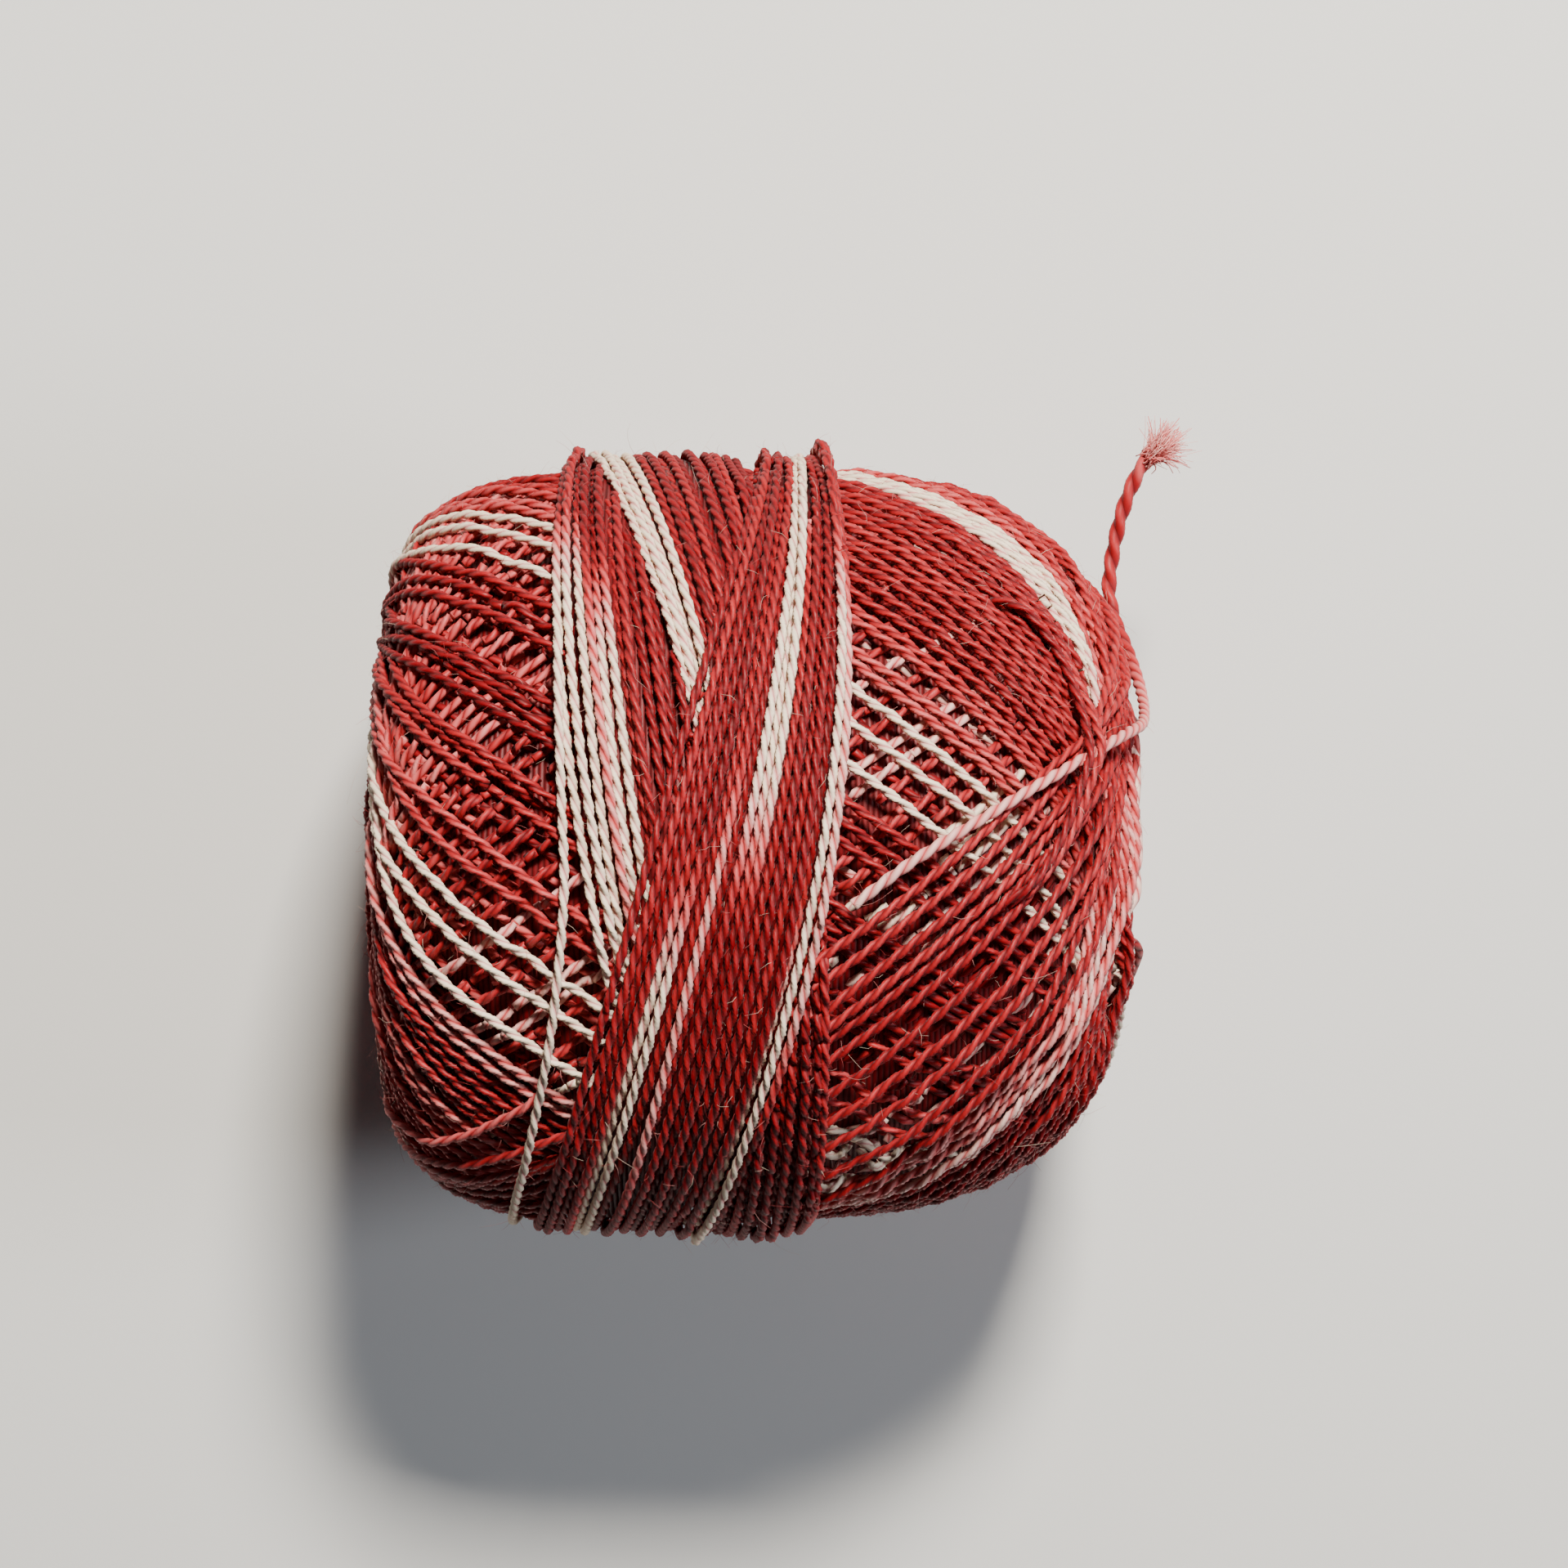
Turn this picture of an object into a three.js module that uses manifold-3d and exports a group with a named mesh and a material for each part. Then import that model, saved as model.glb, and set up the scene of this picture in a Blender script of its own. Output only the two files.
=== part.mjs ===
// A small ball of pearl cotton, lying on its side: cross-wound body, a raised belt of nearly parallel turns round its
// middle, and the thread's loose end, which leaves the belt, turns back in a small loop and stands clear with a frayed tip.
// Millimetres, +Z up. X runs along the axis that the ball is wound about. The origin is the middle of the flat spot
// that the ball rests on, straight below the middle of that axis.
import * as THREE from "three";
import { mergeVertices } from "three/addons/utils/BufferGeometryUtils.js";
import Module from "manifold-3d";

const wasm = await Module();
wasm.setup();

// Driving dimensions
const BODY_RADIUS = 21; // of the cross-wound body, without the belt
const BODY_SAG = 0.35; // how far the body is fuller towards -Y than towards +Y
const BELT_TOP = 22.05; // radius over the upper layer of the belt
const FLAT_DEPTH = 0.35; // how far the resting side is pressed flat
const AXIS_HEIGHT = BELT_TOP - FLAT_DEPTH;

// Each end follows a superellipse, which would close at its reach if it had no hollow in it. The -X end is squarer.
const LEFT_END = { reach: 20.8, power: 5.5 };
const RIGHT_END = { reach: 21.4, power: 2.95 };
const HOLLOW_DEPTH = 3;
const HOLLOW_RADIUS = 6.5;

// Crossing turns of the body: each runs slantwise from end to end and turns back where it touches a circle there.
const TURNING_RADIUS = 12.4;
const RIDGES = 18; // broad ridges of bunched turns, each way round the body
const RIDGE_RISE = 0.5;
const OVER_ANGLE = -0.93; // middle of the side where the turns that run down to the right lie on top
const OVER_HALF_WIDTH = { left: 2.1, right: 1.03 }; // how far round they do, at each end

// The belt is two layers that cross at a small angle. Each edge gives its x where it passes the ball's far side (+Y),
// top (+Z), near side (-Y) and underside.
const BELT_EDGE = 1.1; // width over which a layer rises to its full height
const BUNCH_DEPTH = 0.26; // of the troughs between bunched turns in a layer
const BELT_LAYERS = [
  {
    top: BELT_TOP - 0.25,
    bunches: 5,
    left: { far: -10.4, top: -8.9, near: -3, under: -7 },
    right: { far: -1, top: 3.4, near: 2.8, under: 1.5 },
  },
  {
    top: BELT_TOP,
    bunches: 4,
    left: { far: -0.9, top: -6.3, near: -13.9, under: -7.5 },
    right: { far: 3.6, top: 4.3, near: -2.6, under: 2 },
  },
];

// Loose end
const THREAD_WIDTH = 0.74; // over both plies
const PLY_WAIST = 0.46; // across the groove between the plies
const PLY_PITCH = 2.4; // length of one full turn of the two plies
const STEPS_PER_PITCH = 7;
const LOOSE_END_ROUTE = [
  // x, y, height above the axis: from the belt's edge over the shoulder, round the loop and out to the tip
  [5.1, -3.1, 21.85],
  [8.2, -0.85, 21.65],
  [12.0, 1.45, 20.6],
  [14.9, 3.1, 18.8],
  [16.7, 4.1, 17.15],
  [18.55, 5.1, 15.1],
  [20.05, 5.85, 12.5],
  [20.95, 6.3, 9.5],
  [21.35, 7.1, 6.5],
  [21.45, 8.3, 3.4],
  [21.3, 9.6, 0.7],
  [21.0, 11.0, -1.7],
  [20.6, 12.4, -3.4],
  [20.35, 13.95, -4.3],
  [20.5, 15.9, -4.5],
  [21.2, 19.1, -4.0],
  [22.1, 21.2, -3.6],
  [22.8, 22.1, -3.3],
];
const TIP_LENGTH = 2.1; // frayed brush past the end of the twisted thread
const TIP_RADIUS = 1.05;
const TIP_GAP = 0.3;

// Fineness of the meshes
const SEGMENTS_ROUND = 96;
const RINGS = 50;
const PROFILE_SAMPLES = 400;
const SECTION_SIDES = 8;

const cotton = new THREE.MeshStandardMaterial({ color: 0xb23a3c, roughness: 0.55, metalness: 0 });
const frayedCotton = new THREE.MeshStandardMaterial({ color: 0xd9858a, roughness: 0.8, metalness: 0 });

const smooth = (t) => THREE.MathUtils.smoothstep(t, 0, 1);

// Half of the body's outline, from the -X pole to the +X pole, as (radius, x) with the end hollows in it.
function outline() {
  const points = [];
  for (let i = 0; i <= PROFILE_SAMPLES; i++) {
    const turn = (i / PROFILE_SAMPLES - 0.5) * Math.PI;
    const { reach, power } = turn < 0 ? LEFT_END : RIGHT_END;
    const radius = BODY_RADIUS * Math.max(0, Math.cos(turn)) ** (2 / power);
    const along = reach * Math.abs(Math.sin(turn)) ** (2 / power);
    const hollow = HOLLOW_DEPTH * Math.exp(-((radius / HOLLOW_RADIUS) ** 2));
    points.push(new THREE.Vector2(radius, Math.sign(turn) * (along - hollow * smooth(along))));
  }
  points[0].x = 0;
  points[PROFILE_SAMPLES].x = 0;
  return new THREE.SplineCurve(points).getSpacedPoints(RINGS);
}

// How far round the body a crossing turn has run when it reaches each ring. The sine of its angle to the outline
// times the radius stays the same along it, as on any thread pulled tight over a round body.
function turnAngles(profile) {
  const angles = [0];
  for (let i = 1; i < profile.length; i++) {
    const radius = Math.max(TURNING_RADIUS * 1.05, (profile[i].x + profile[i - 1].x) / 2);
    const step = profile[i].distanceTo(profile[i - 1]);
    const rate = TURNING_RADIUS / (radius * Math.sqrt(radius ** 2 - TURNING_RADIUS ** 2));
    angles.push(angles[i - 1] + step * rate);
  }
  return angles;
}

// Depth of the troughs between the crossing ridges, which slope one way or the other, whichever turns lie on top.
function troughDepth(x, radius, angle, turnAngle) {
  const side = smooth((x + BODY_RADIUS) / (2 * BODY_RADIUS));
  const halfWidth = THREE.MathUtils.lerp(OVER_HALF_WIDTH.left, OVER_HALF_WIDTH.right, side);
  const over = smooth(0.5 + 3 * (Math.cos(angle - OVER_ANGLE) - Math.cos(halfWidth)));
  const down = Math.cos(RIDGES * (angle - turnAngle));
  const up = Math.cos(RIDGES * (angle + turnAngle));
  const fade = smooth((radius - TURNING_RADIUS) / (BODY_RADIUS - TURNING_RADIUS));
  return (RIDGE_RISE * fade * (1 - over * down - (1 - over) * up)) / 2;
}

// Where an edge of the belt lies at the angle round the axis, measured from the top towards the near side.
function edgeAt({ far, top, near, under }, angle) {
  const middle = (far + top + near + under) / 4;
  const wave = (top + under - far - near) / 4;
  return (
    middle +
    ((near - far) / 2) * Math.sin(angle) +
    ((top - under) / 2) * Math.cos(angle) +
    wave * Math.cos(2 * angle)
  );
}

// How much of its height a belt layer has at this place, and how far its surface dips between bunches.
function layerRadius(layer, x, angle, bodyRadius) {
  const left = edgeAt(layer.left, angle);
  const right = edgeAt(layer.right, angle);
  const inside = Math.min(x - left, right - x) + BELT_EDGE / 2;
  const share = (x - left) / (right - left);
  const dip = (BUNCH_DEPTH / 2) * (1 - Math.cos(2 * Math.PI * layer.bunches * share));
  return bodyRadius + smooth(inside / BELT_EDGE) * (layer.top - dip - bodyRadius);
}

// The wound body as a lathe about X, whose points are moved out and in by the belt and the ridges.
function woundBody() {
  const profile = outline();
  const turns = turnAngles(profile);
  const lathe = new THREE.LatheGeometry(profile, SEGMENTS_ROUND);
  lathe.rotateZ(-Math.PI / 2);
  const place = lathe.getAttribute("position");
  for (let i = 0; i < place.count; i++) {
    const x = place.getX(i);
    const round = Math.hypot(place.getY(i), place.getZ(i));
    if (round < 1e-3) continue;
    const angle = Math.atan2(-place.getY(i), place.getZ(i));
    const body = round + BODY_SAG * Math.sin(angle) * smooth(round / BODY_RADIUS);
    const trough = troughDepth(x, round, angle, turns[i % profile.length]);
    const radius = Math.max(body - trough, ...BELT_LAYERS.map((layer) => layerRadius(layer, x, angle, body - trough)));
    place.setY(i, -radius * Math.sin(angle));
    place.setZ(i, radius * Math.cos(angle));
  }
  return lathe;
}

function toSolid(geometry) {
  const bare = geometry.clone();
  bare.deleteAttribute("normal");
  bare.deleteAttribute("uv");
  const merged = mergeVertices(bare, 1e-3);
  return new wasm.Manifold(
    new wasm.Mesh({
      numProp: 3,
      vertProperties: merged.getAttribute("position").array,
      triVerts: new Uint32Array(merged.index.array),
    }),
  );
}

function toGeometry(solid) {
  const mesh = solid.getMesh();
  return new THREE.BufferGeometry()
    .setAttribute("position", new THREE.BufferAttribute(mesh.vertProperties, 3))
    .setIndex(new THREE.BufferAttribute(mesh.triVerts, 1));
}

// The body with its flat resting spot cut.
function woundBall() {
  const groundSize = 4 * BODY_RADIUS;
  const ground = new THREE.BoxGeometry(groundSize, groundSize, groundSize);
  ground.translate(0, 0, -AXIS_HEIGHT - groundSize / 2);
  const geometry = toGeometry(toSolid(woundBody()).subtract(toSolid(ground)));
  geometry.computeVertexNormals();
  const mesh = new THREE.Mesh(geometry, cotton);
  mesh.name = "wound_ball";
  return mesh;
}

// A path whose frames turn about it, so that a section swept along it is twisted.
class TwistedPath extends THREE.CatmullRomCurve3 {
  computeFrenetFrames(segments, closed) {
    const frames = super.computeFrenetFrames(segments, closed);
    const turns = this.getLength() / PLY_PITCH;
    frames.tangents.forEach((tangent, i) => {
      const twist = (-2 * Math.PI * turns * i) / segments;
      frames.normals[i].applyAxisAngle(tangent, twist);
      frames.binormals[i].applyAxisAngle(tangent, twist);
    });
    return frames;
  }
}

// Section of two plies side by side, narrower at the groove between them.
function plySection() {
  const points = [];
  for (let i = 0; i < SECTION_SIDES; i++) {
    const angle = (2 * Math.PI * i) / SECTION_SIDES;
    const wide = Math.abs(Math.cos(angle));
    const radius = (PLY_WAIST + (THREAD_WIDTH - PLY_WAIST) * wide) / 2;
    points.push(new THREE.Vector2(radius * Math.cos(angle), radius * Math.sin(angle)));
  }
  return new THREE.Shape(points);
}

function looseEnd(path) {
  const steps = Math.round((path.getLength() / PLY_PITCH) * STEPS_PER_PITCH);
  const mesh = new THREE.Mesh(
    new THREE.ExtrudeGeometry(plySection(), { steps, bevelEnabled: false, extrudePath: path }),
    cotton,
  );
  mesh.name = "loose_end";
  return mesh;
}

// The brush of loosened fibres: narrow where it leaves the thread, spread and ragged at its end.
function frayedTip(path) {
  const profile = [
    [0, 0],
    [0.3, 0],
    [0.48, 0.22],
    [0.82, 0.5],
    [1, 0.78],
    [0.72, 0.97],
    [0, 0.9],
  ].map(([wide, along]) => new THREE.Vector2(wide * TIP_RADIUS, along * TIP_LENGTH));
  const geometry = new THREE.LatheGeometry(profile, 12);
  const place = geometry.getAttribute("position");
  for (let i = 0; i < place.count; i++) {
    const angle = Math.atan2(place.getZ(i), place.getX(i));
    const lump = 1 + 0.16 * Math.cos(3 * angle);
    place.setXYZ(i, place.getX(i) * lump, place.getY(i), place.getZ(i) * lump);
  }
  const mesh = new THREE.Mesh(geometry, frayedCotton);
  const onward = path.getTangentAt(1);
  mesh.quaternion.setFromUnitVectors(new THREE.Vector3(0, 1, 0), onward);
  mesh.position.copy(path.getPointAt(1)).addScaledVector(onward, TIP_GAP);
  mesh.name = "frayed_tip";
  return mesh;
}

const ball = new THREE.Group();
ball.position.z = AXIS_HEIGHT;
const route = new TwistedPath(LOOSE_END_ROUTE.map((p) => new THREE.Vector3(...p)), false, "centripetal");
ball.add(woundBall(), looseEnd(route), frayedTip(route));

export default ball;
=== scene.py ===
"""A small ball of pearl cotton, lying on its side, seen from above.

The ball is made as it is wound. Each turn is laid on the turns below it, on a map of how high the
winding stands over the body, and it bridges the gaps between them as a taut thread does. The
crossing turns come first, round after round, then the belt of nearly parallel turns about the
middle, and last the loose end. Lengths are in metres.
"""

import logging
import math
from dataclasses import dataclass, field
from enum import Enum

import bmesh
import bpy
import numpy as np
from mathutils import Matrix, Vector


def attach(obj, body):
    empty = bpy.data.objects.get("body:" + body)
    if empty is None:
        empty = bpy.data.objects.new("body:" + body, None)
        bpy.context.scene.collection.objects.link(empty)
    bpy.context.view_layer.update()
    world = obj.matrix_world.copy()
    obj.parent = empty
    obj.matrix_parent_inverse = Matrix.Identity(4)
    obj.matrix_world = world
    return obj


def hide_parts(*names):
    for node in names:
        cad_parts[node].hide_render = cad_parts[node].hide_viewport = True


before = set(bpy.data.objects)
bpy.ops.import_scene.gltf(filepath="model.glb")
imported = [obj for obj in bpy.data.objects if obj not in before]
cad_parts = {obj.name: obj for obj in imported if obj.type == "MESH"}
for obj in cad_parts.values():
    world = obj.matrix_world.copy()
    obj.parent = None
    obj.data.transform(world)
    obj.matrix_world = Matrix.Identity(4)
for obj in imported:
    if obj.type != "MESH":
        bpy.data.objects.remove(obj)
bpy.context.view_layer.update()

LOG = logging.getLogger("pearl_cotton")
MM = 0.001
FULL_TURN = 2 * math.pi
SEED = 418
Colour = tuple[float, float, float]

THREAD_RADIUS = 0.285 * MM
CONTACT_RADIUS = 0.235 * MM
PLY_PITCH = 2.28 * MM
# Offsets to the side of a thread's middle, and how far its surface stands over its middle there.
CONTACT_SECTION = tuple(
    (share * CONTACT_RADIUS, math.sqrt(1.0 - share**2) * CONTACT_RADIUS)
    for share in (-1.0, -0.67, -0.33, 0.0, 0.33, 0.67, 1.0)
)
AXIS_HEIGHT = 21.7 * MM
BODY_RADIUS = 21.0 * MM
BELT_TOP = 22.05 * MM

# The loose end's route, as in the part's source: x, y and height above the ball's axis, in mm.
LOOSE_END_ROUTE = [
    (5.1, -3.1, 21.85),
    (8.2, -0.85, 21.65),
    (12.0, 1.45, 20.6),
    (14.9, 3.1, 18.8),
    (16.7, 4.1, 17.15),
    (18.55, 5.1, 15.1),
    (20.05, 5.85, 12.5),
    (20.95, 6.3, 9.5),
    (21.35, 7.1, 6.5),
    (21.45, 8.3, 3.4),
    (21.3, 9.6, 0.7),
    (21.0, 11.0, -1.7),
    (20.6, 12.4, -3.4),
    (20.35, 13.95, -4.3),
    (20.5, 15.9, -4.5),
    (21.2, 19.1, -4.0),
    (22.1, 21.2, -3.6),
    (22.8, 22.1, -3.3),
]


def smooth_step(share: np.ndarray | float) -> np.ndarray | float:
    """Eased rise from 0 to 1 as the share goes from 0 to 1."""
    share = np.clip(share, 0.0, 1.0)
    return share * share * (3.0 - 2.0 * share)


@dataclass(frozen=True)
class BodyOutline:
    """Half outline of the cross-wound body: a superellipse to each side, hollow at both ends."""

    radius: float = BODY_RADIUS
    near_bulge: float = 0.35 * MM
    left_reach: float = 20.8 * MM
    left_power: float = 5.5
    right_reach: float = 21.4 * MM
    right_power: float = 2.95
    hollow_depth: float = 3.0 * MM
    hollow_radius: float = 6.5 * MM
    samples: int = 4000

    def profile(self, step: float) -> tuple[np.ndarray, np.ndarray, np.ndarray]:
        """Works out the outline at even steps along itself.

        Args:
            step: Distance between samples along the outline.

        Returns:
            The length run from the -X pole, the x and the radius at each sample.
        """
        turn = (np.arange(self.samples + 1) / self.samples - 0.5) * math.pi
        power = np.where(turn < 0, self.left_power, self.right_power)
        reach = np.where(turn < 0, self.left_reach, self.right_reach)
        radius = self.radius * np.maximum(np.cos(turn), 0.0) ** (2 / power)
        along = reach * np.abs(np.sin(turn)) ** (2 / power)
        hollow = self.hollow_depth * np.exp(-((radius / self.hollow_radius) ** 2))
        x = np.sign(turn) * (along - hollow * smooth_step(along / MM))
        run = np.concatenate([[0.0], np.cumsum(np.hypot(np.diff(x), np.diff(radius)))])
        even = np.arange(0.0, run[-1], step)
        return even, np.interp(even, run, x), np.interp(even, run, radius)


@dataclass(frozen=True)
class BeltEdge:
    """X at which a belt bundle's edge passes the ball's far side, top, near side and underside."""

    far: float
    top: float
    near: float
    under: float

    def at(self, angle: np.ndarray) -> np.ndarray:
        """X of the edge at each angle round the axis, from the top towards the near side.

        Args:
            angle: The angles.

        Returns:
            The x at each angle.
        """
        middle = (self.far + self.top + self.near + self.under) / 4
        wave = (self.top + self.under - self.far - self.near) / 4
        sine = (self.near - self.far) / 2 * np.sin(angle)
        cosine = (self.top - self.under) / 2 * np.cos(angle)
        return middle + sine + cosine + wave * np.cos(2 * angle)


@dataclass(frozen=True)
class BeltBundle:
    """One of the belt's bundles of turns, which cross at small angles."""

    name: str
    turns: int
    left: BeltEdge
    right: BeltEdge

    def inside(self, x: np.ndarray, angle: np.ndarray) -> np.ndarray:
        """Distance in from the bundle's nearer edge, negative outside it."""
        return np.minimum(x - self.left.at(angle), self.right.at(angle) - x)

    def thickness(self, angle: np.ndarray) -> np.ndarray:
        """Thickness of the turns that show, which pile up where the bundle is narrow.

        Args:
            angle: Angles round the axis.

        Returns:
            The thickness at each angle.
        """
        width = self.right.at(angle) - self.left.at(angle)
        layers = np.maximum(self.turns * 2 * CONTACT_RADIUS / width, 1.0)
        return (0.4 + 1.5 * layers) * CONTACT_RADIUS


UNDER_BUNDLE = BeltBundle(
    name="belt_under",
    turns=13,
    left=BeltEdge(-10.4 * MM, -8.9 * MM, -3.0 * MM, -7.0 * MM),
    right=BeltEdge(-6.0 * MM, -1.8 * MM, 0.0 * MM, -3.0 * MM),
)
MIDDLE_BUNDLE = BeltBundle(
    name="belt_middle",
    turns=15,
    left=BeltEdge(-9.4 * MM, -2.0 * MM, -3.0 * MM, -5.5 * MM),
    right=BeltEdge(-1.0 * MM, 3.4 * MM, 2.8 * MM, 1.5 * MM),
)
OVER_BUNDLE = BeltBundle(
    name="belt_over",
    turns=19,
    left=BeltEdge(0.3 * MM, -5.2 * MM, -12.6 * MM, -7.0 * MM),
    right=BeltEdge(3.6 * MM, 4.3 * MM, -2.6 * MM, 2.0 * MM),
)
BUNDLES = (UNDER_BUNDLE, MIDDLE_BUNDLE, OVER_BUNDLE)


@dataclass
class Route:
    """A thread's way over the body, at even steps, with its dye from 0, deep red, to 1, cream."""

    run: np.ndarray
    angle: np.ndarray
    step: float
    pale: np.ndarray


@dataclass
class Thread:
    """A laid stretch of thread.

    Run and angle say where it lies on the body and height how far over it, turns counts the turns
    of its plies, and pale is its dye.
    """

    run: np.ndarray
    angle: np.ndarray
    height: np.ndarray
    turns: np.ndarray
    pale: np.ndarray

    def cut(self, keep: np.ndarray) -> list["Thread"]:
        """Splits the thread into the stretches that are kept.

        Args:
            keep: A truth value for each point.

        Returns:
            The kept stretches of more than three points.
        """
        marks = np.flatnonzero(np.diff(np.concatenate([[0], keep.astype(int), [0]])))
        stretches = [slice(a, b) for a, b in zip(marks[::2], marks[1::2]) if b - a > 3]
        return [
            Thread(self.run[i], self.angle[i], self.height[i], self.turns[i], self.pale[i])
            for i in stretches
        ]


def moving_mean(values: np.ndarray, window: int) -> np.ndarray:
    """Averages each value with its neighbours over an odd number of points."""
    padded = np.pad(values, window // 2, mode="edge")
    return np.convolve(padded, np.ones(window) / window, mode="valid")


def widened(marks: np.ndarray, reach: int) -> np.ndarray:
    """Spreads true values over their neighbours within reach."""
    count = np.convolve(marks.astype(float), np.ones(2 * reach + 1), mode="same")
    return count > 0.5


def run_along(points: np.ndarray) -> np.ndarray:
    """Length along a line at each of its points."""
    steps = np.linalg.norm(np.diff(points, axis=0), axis=1)
    return np.concatenate([[0.0], np.cumsum(steps)])


class WindingSurface:
    """The body's surface with a map of how far the winding stands over it."""

    # Share of a thread's thickness that is pressed away where the turns crowd at the ends.
    end_press: float = 0.6
    # Shares of the way to a pole at which the ends begin and over which they blend in.
    end_start: float = 0.36
    end_blend: float = 0.2
    # Shares of a bundle's width at which the belt's first turns begin and over which they rise.
    belt_start: float = 0.08
    belt_blend: float = 0.14
    # How far the map may stand over a thread's surface where the thread still counts as showing.
    show_margin: float = 0.07 * MM
    # Radius that nearer parts of the body count as having, so that no angle grows without end.
    least_radius: float = 1.0 * MM
    # Least bend of the body under a taut thread, as one over metres.
    least_bend: float = 2.0
    # Length over which a thread is too stiff to follow what it lies on.
    stiff_length: float = 0.5 * MM
    # Length over which a thread sinks between its neighbours where it dives.
    dive_length: float = 2.5 * MM
    # Depth under the winding that the map is set back to before it is drawn anew.
    clear_depth: float = 1.6 * MM

    def __init__(self, outline: BodyOutline, cell: float = 0.17 * MM) -> None:
        """Starts with the bare outline.

        Args:
            outline: Outline that the finished body follows.
            cell: Size of a cell of the map.
        """
        self.outline = outline
        self.cell = cell
        self.run, self.x, self.r = outline.profile(cell)
        kernel = np.ones(9) / 9
        slope_x = np.convolve(np.gradient(self.x, cell), kernel, mode="same")
        slope_r = np.convolve(np.gradient(self.r, cell), kernel, mode="same")
        size = np.hypot(slope_x, slope_r) + 1e-12
        self.slope_r = slope_r / size
        self.out_x = -slope_r / size
        self.out_r = slope_x / size
        bend = np.hypot(np.gradient(self.out_x, cell), np.gradient(self.out_r, cell))
        self.bend = np.convolve(bend, kernel, mode="same")
        self.around = int(round(FULL_TURN * outline.radius / cell))
        self.height = np.zeros((len(self.run), self.around))
        reach = self.run[-1] / 2
        to_pole = np.abs(self.run - self.middle_run()) / reach
        self.end_share = smooth_step((to_pole - self.end_start) / self.end_blend)
        self.belt_share = np.zeros_like(self.height)

    def start_below(self, depth: np.ndarray) -> None:
        """Sets the map to packed turns at a depth under the outline, one depth for each row."""
        self.height = np.repeat(-depth[:, None], self.around, axis=1)

    def run_at(self, x: np.ndarray | float) -> np.ndarray | float:
        """Length along the outline at an x outside the end hollows."""
        shown = slice(int(self.x.argmin()), int(self.x.argmax()) + 1)
        return np.interp(x, self.x[shown], self.run[shown])

    def middle_run(self) -> float:
        """Length along the outline where it passes the middle of the ball."""
        return float(self.run_at(0.0))

    def radius_at(self, run: np.ndarray) -> np.ndarray:
        """Radius of the outline at a length along it, at least the least radius."""
        return np.maximum(np.interp(run, self.run, self.r), self.least_radius)

    def away_from_poles(self) -> np.ndarray:
        """Share that rises from 0 at the poles to 1 at a radius of 5 mm, one for each row."""
        return smooth_step((self.r / MM - 2.0) / 3.0)[:, None]

    def place(
        self, run: np.ndarray, angle: np.ndarray, height: np.ndarray
    ) -> tuple[np.ndarray, np.ndarray]:
        """Turns surface coordinates into places.

        Args:
            run: Length along the outline.
            angle: Angle round the axis.
            height: Height over the body's outline.

        Returns:
            The points and the unit directions away from the body, both N by 3.
        """
        out_x = np.interp(run, self.run, self.out_x)
        out_r = np.interp(run, self.run, self.out_r)
        r = np.interp(run, self.run, self.r)
        bulge = self.outline.near_bulge * np.sin(angle) * smooth_step(r / self.outline.radius)
        x = np.interp(run, self.run, self.x) + out_x * height
        radius = r + out_r * height + bulge
        # The turns underneath are pressed flat on what the ball lies on.
        z = np.maximum(radius * np.cos(angle) + AXIS_HEIGHT, 0.8 * THREAD_RADIUS)
        points = np.stack([x, -radius * np.sin(angle), z], axis=1)
        up = np.stack([out_x, -out_r * np.sin(angle), out_r * np.cos(angle)], axis=1)
        return points, up

    def cells(self, run: np.ndarray, angle: np.ndarray) -> tuple[np.ndarray, np.ndarray]:
        """Map cells that hold the given surface coordinates.

        Args:
            run: Length along the outline.
            angle: Angle round the axis.

        Returns:
            The rows and the columns.
        """
        row = np.clip(np.round(run / self.cell).astype(int), 0, len(self.run) - 1)
        column = np.round(angle / FULL_TURN * self.around).astype(int) % self.around
        return row, column

    def _sideways(self, way: "Route | Thread", offset: float) -> tuple[np.ndarray, np.ndarray]:
        """Map cells at a distance to the side of a thread's way.

        Args:
            way: The thread's way.
            offset: The distance, less than 0 on its other side.

        Returns:
            The rows and the columns.
        """
        r = self.radius_at(way.run)
        ahead = np.gradient(way.run)
        across = np.gradient(way.angle) * r
        size = np.hypot(ahead, across) + 1e-12
        return self.cells(way.run - offset * across / size, way.angle + offset * ahead / size / r)

    def _raise(
        self,
        way: "Route | Thread",
        height: np.ndarray,
        firm: np.ndarray | float = 1.0,
        wide: float = 1.0,
    ) -> None:
        """Raises the map to a thread's upper surface.

        Args:
            way: The thread's way.
            height: Height of its middle over the body at each point.
            firm: Its thickness against that of an ordinary turn.
            wide: Its width against that of an ordinary turn.
        """
        for offset, depth in CONTACT_SECTION:
            np.maximum.at(self.height, self._sideways(way, offset * wide), height + depth * firm)

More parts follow.
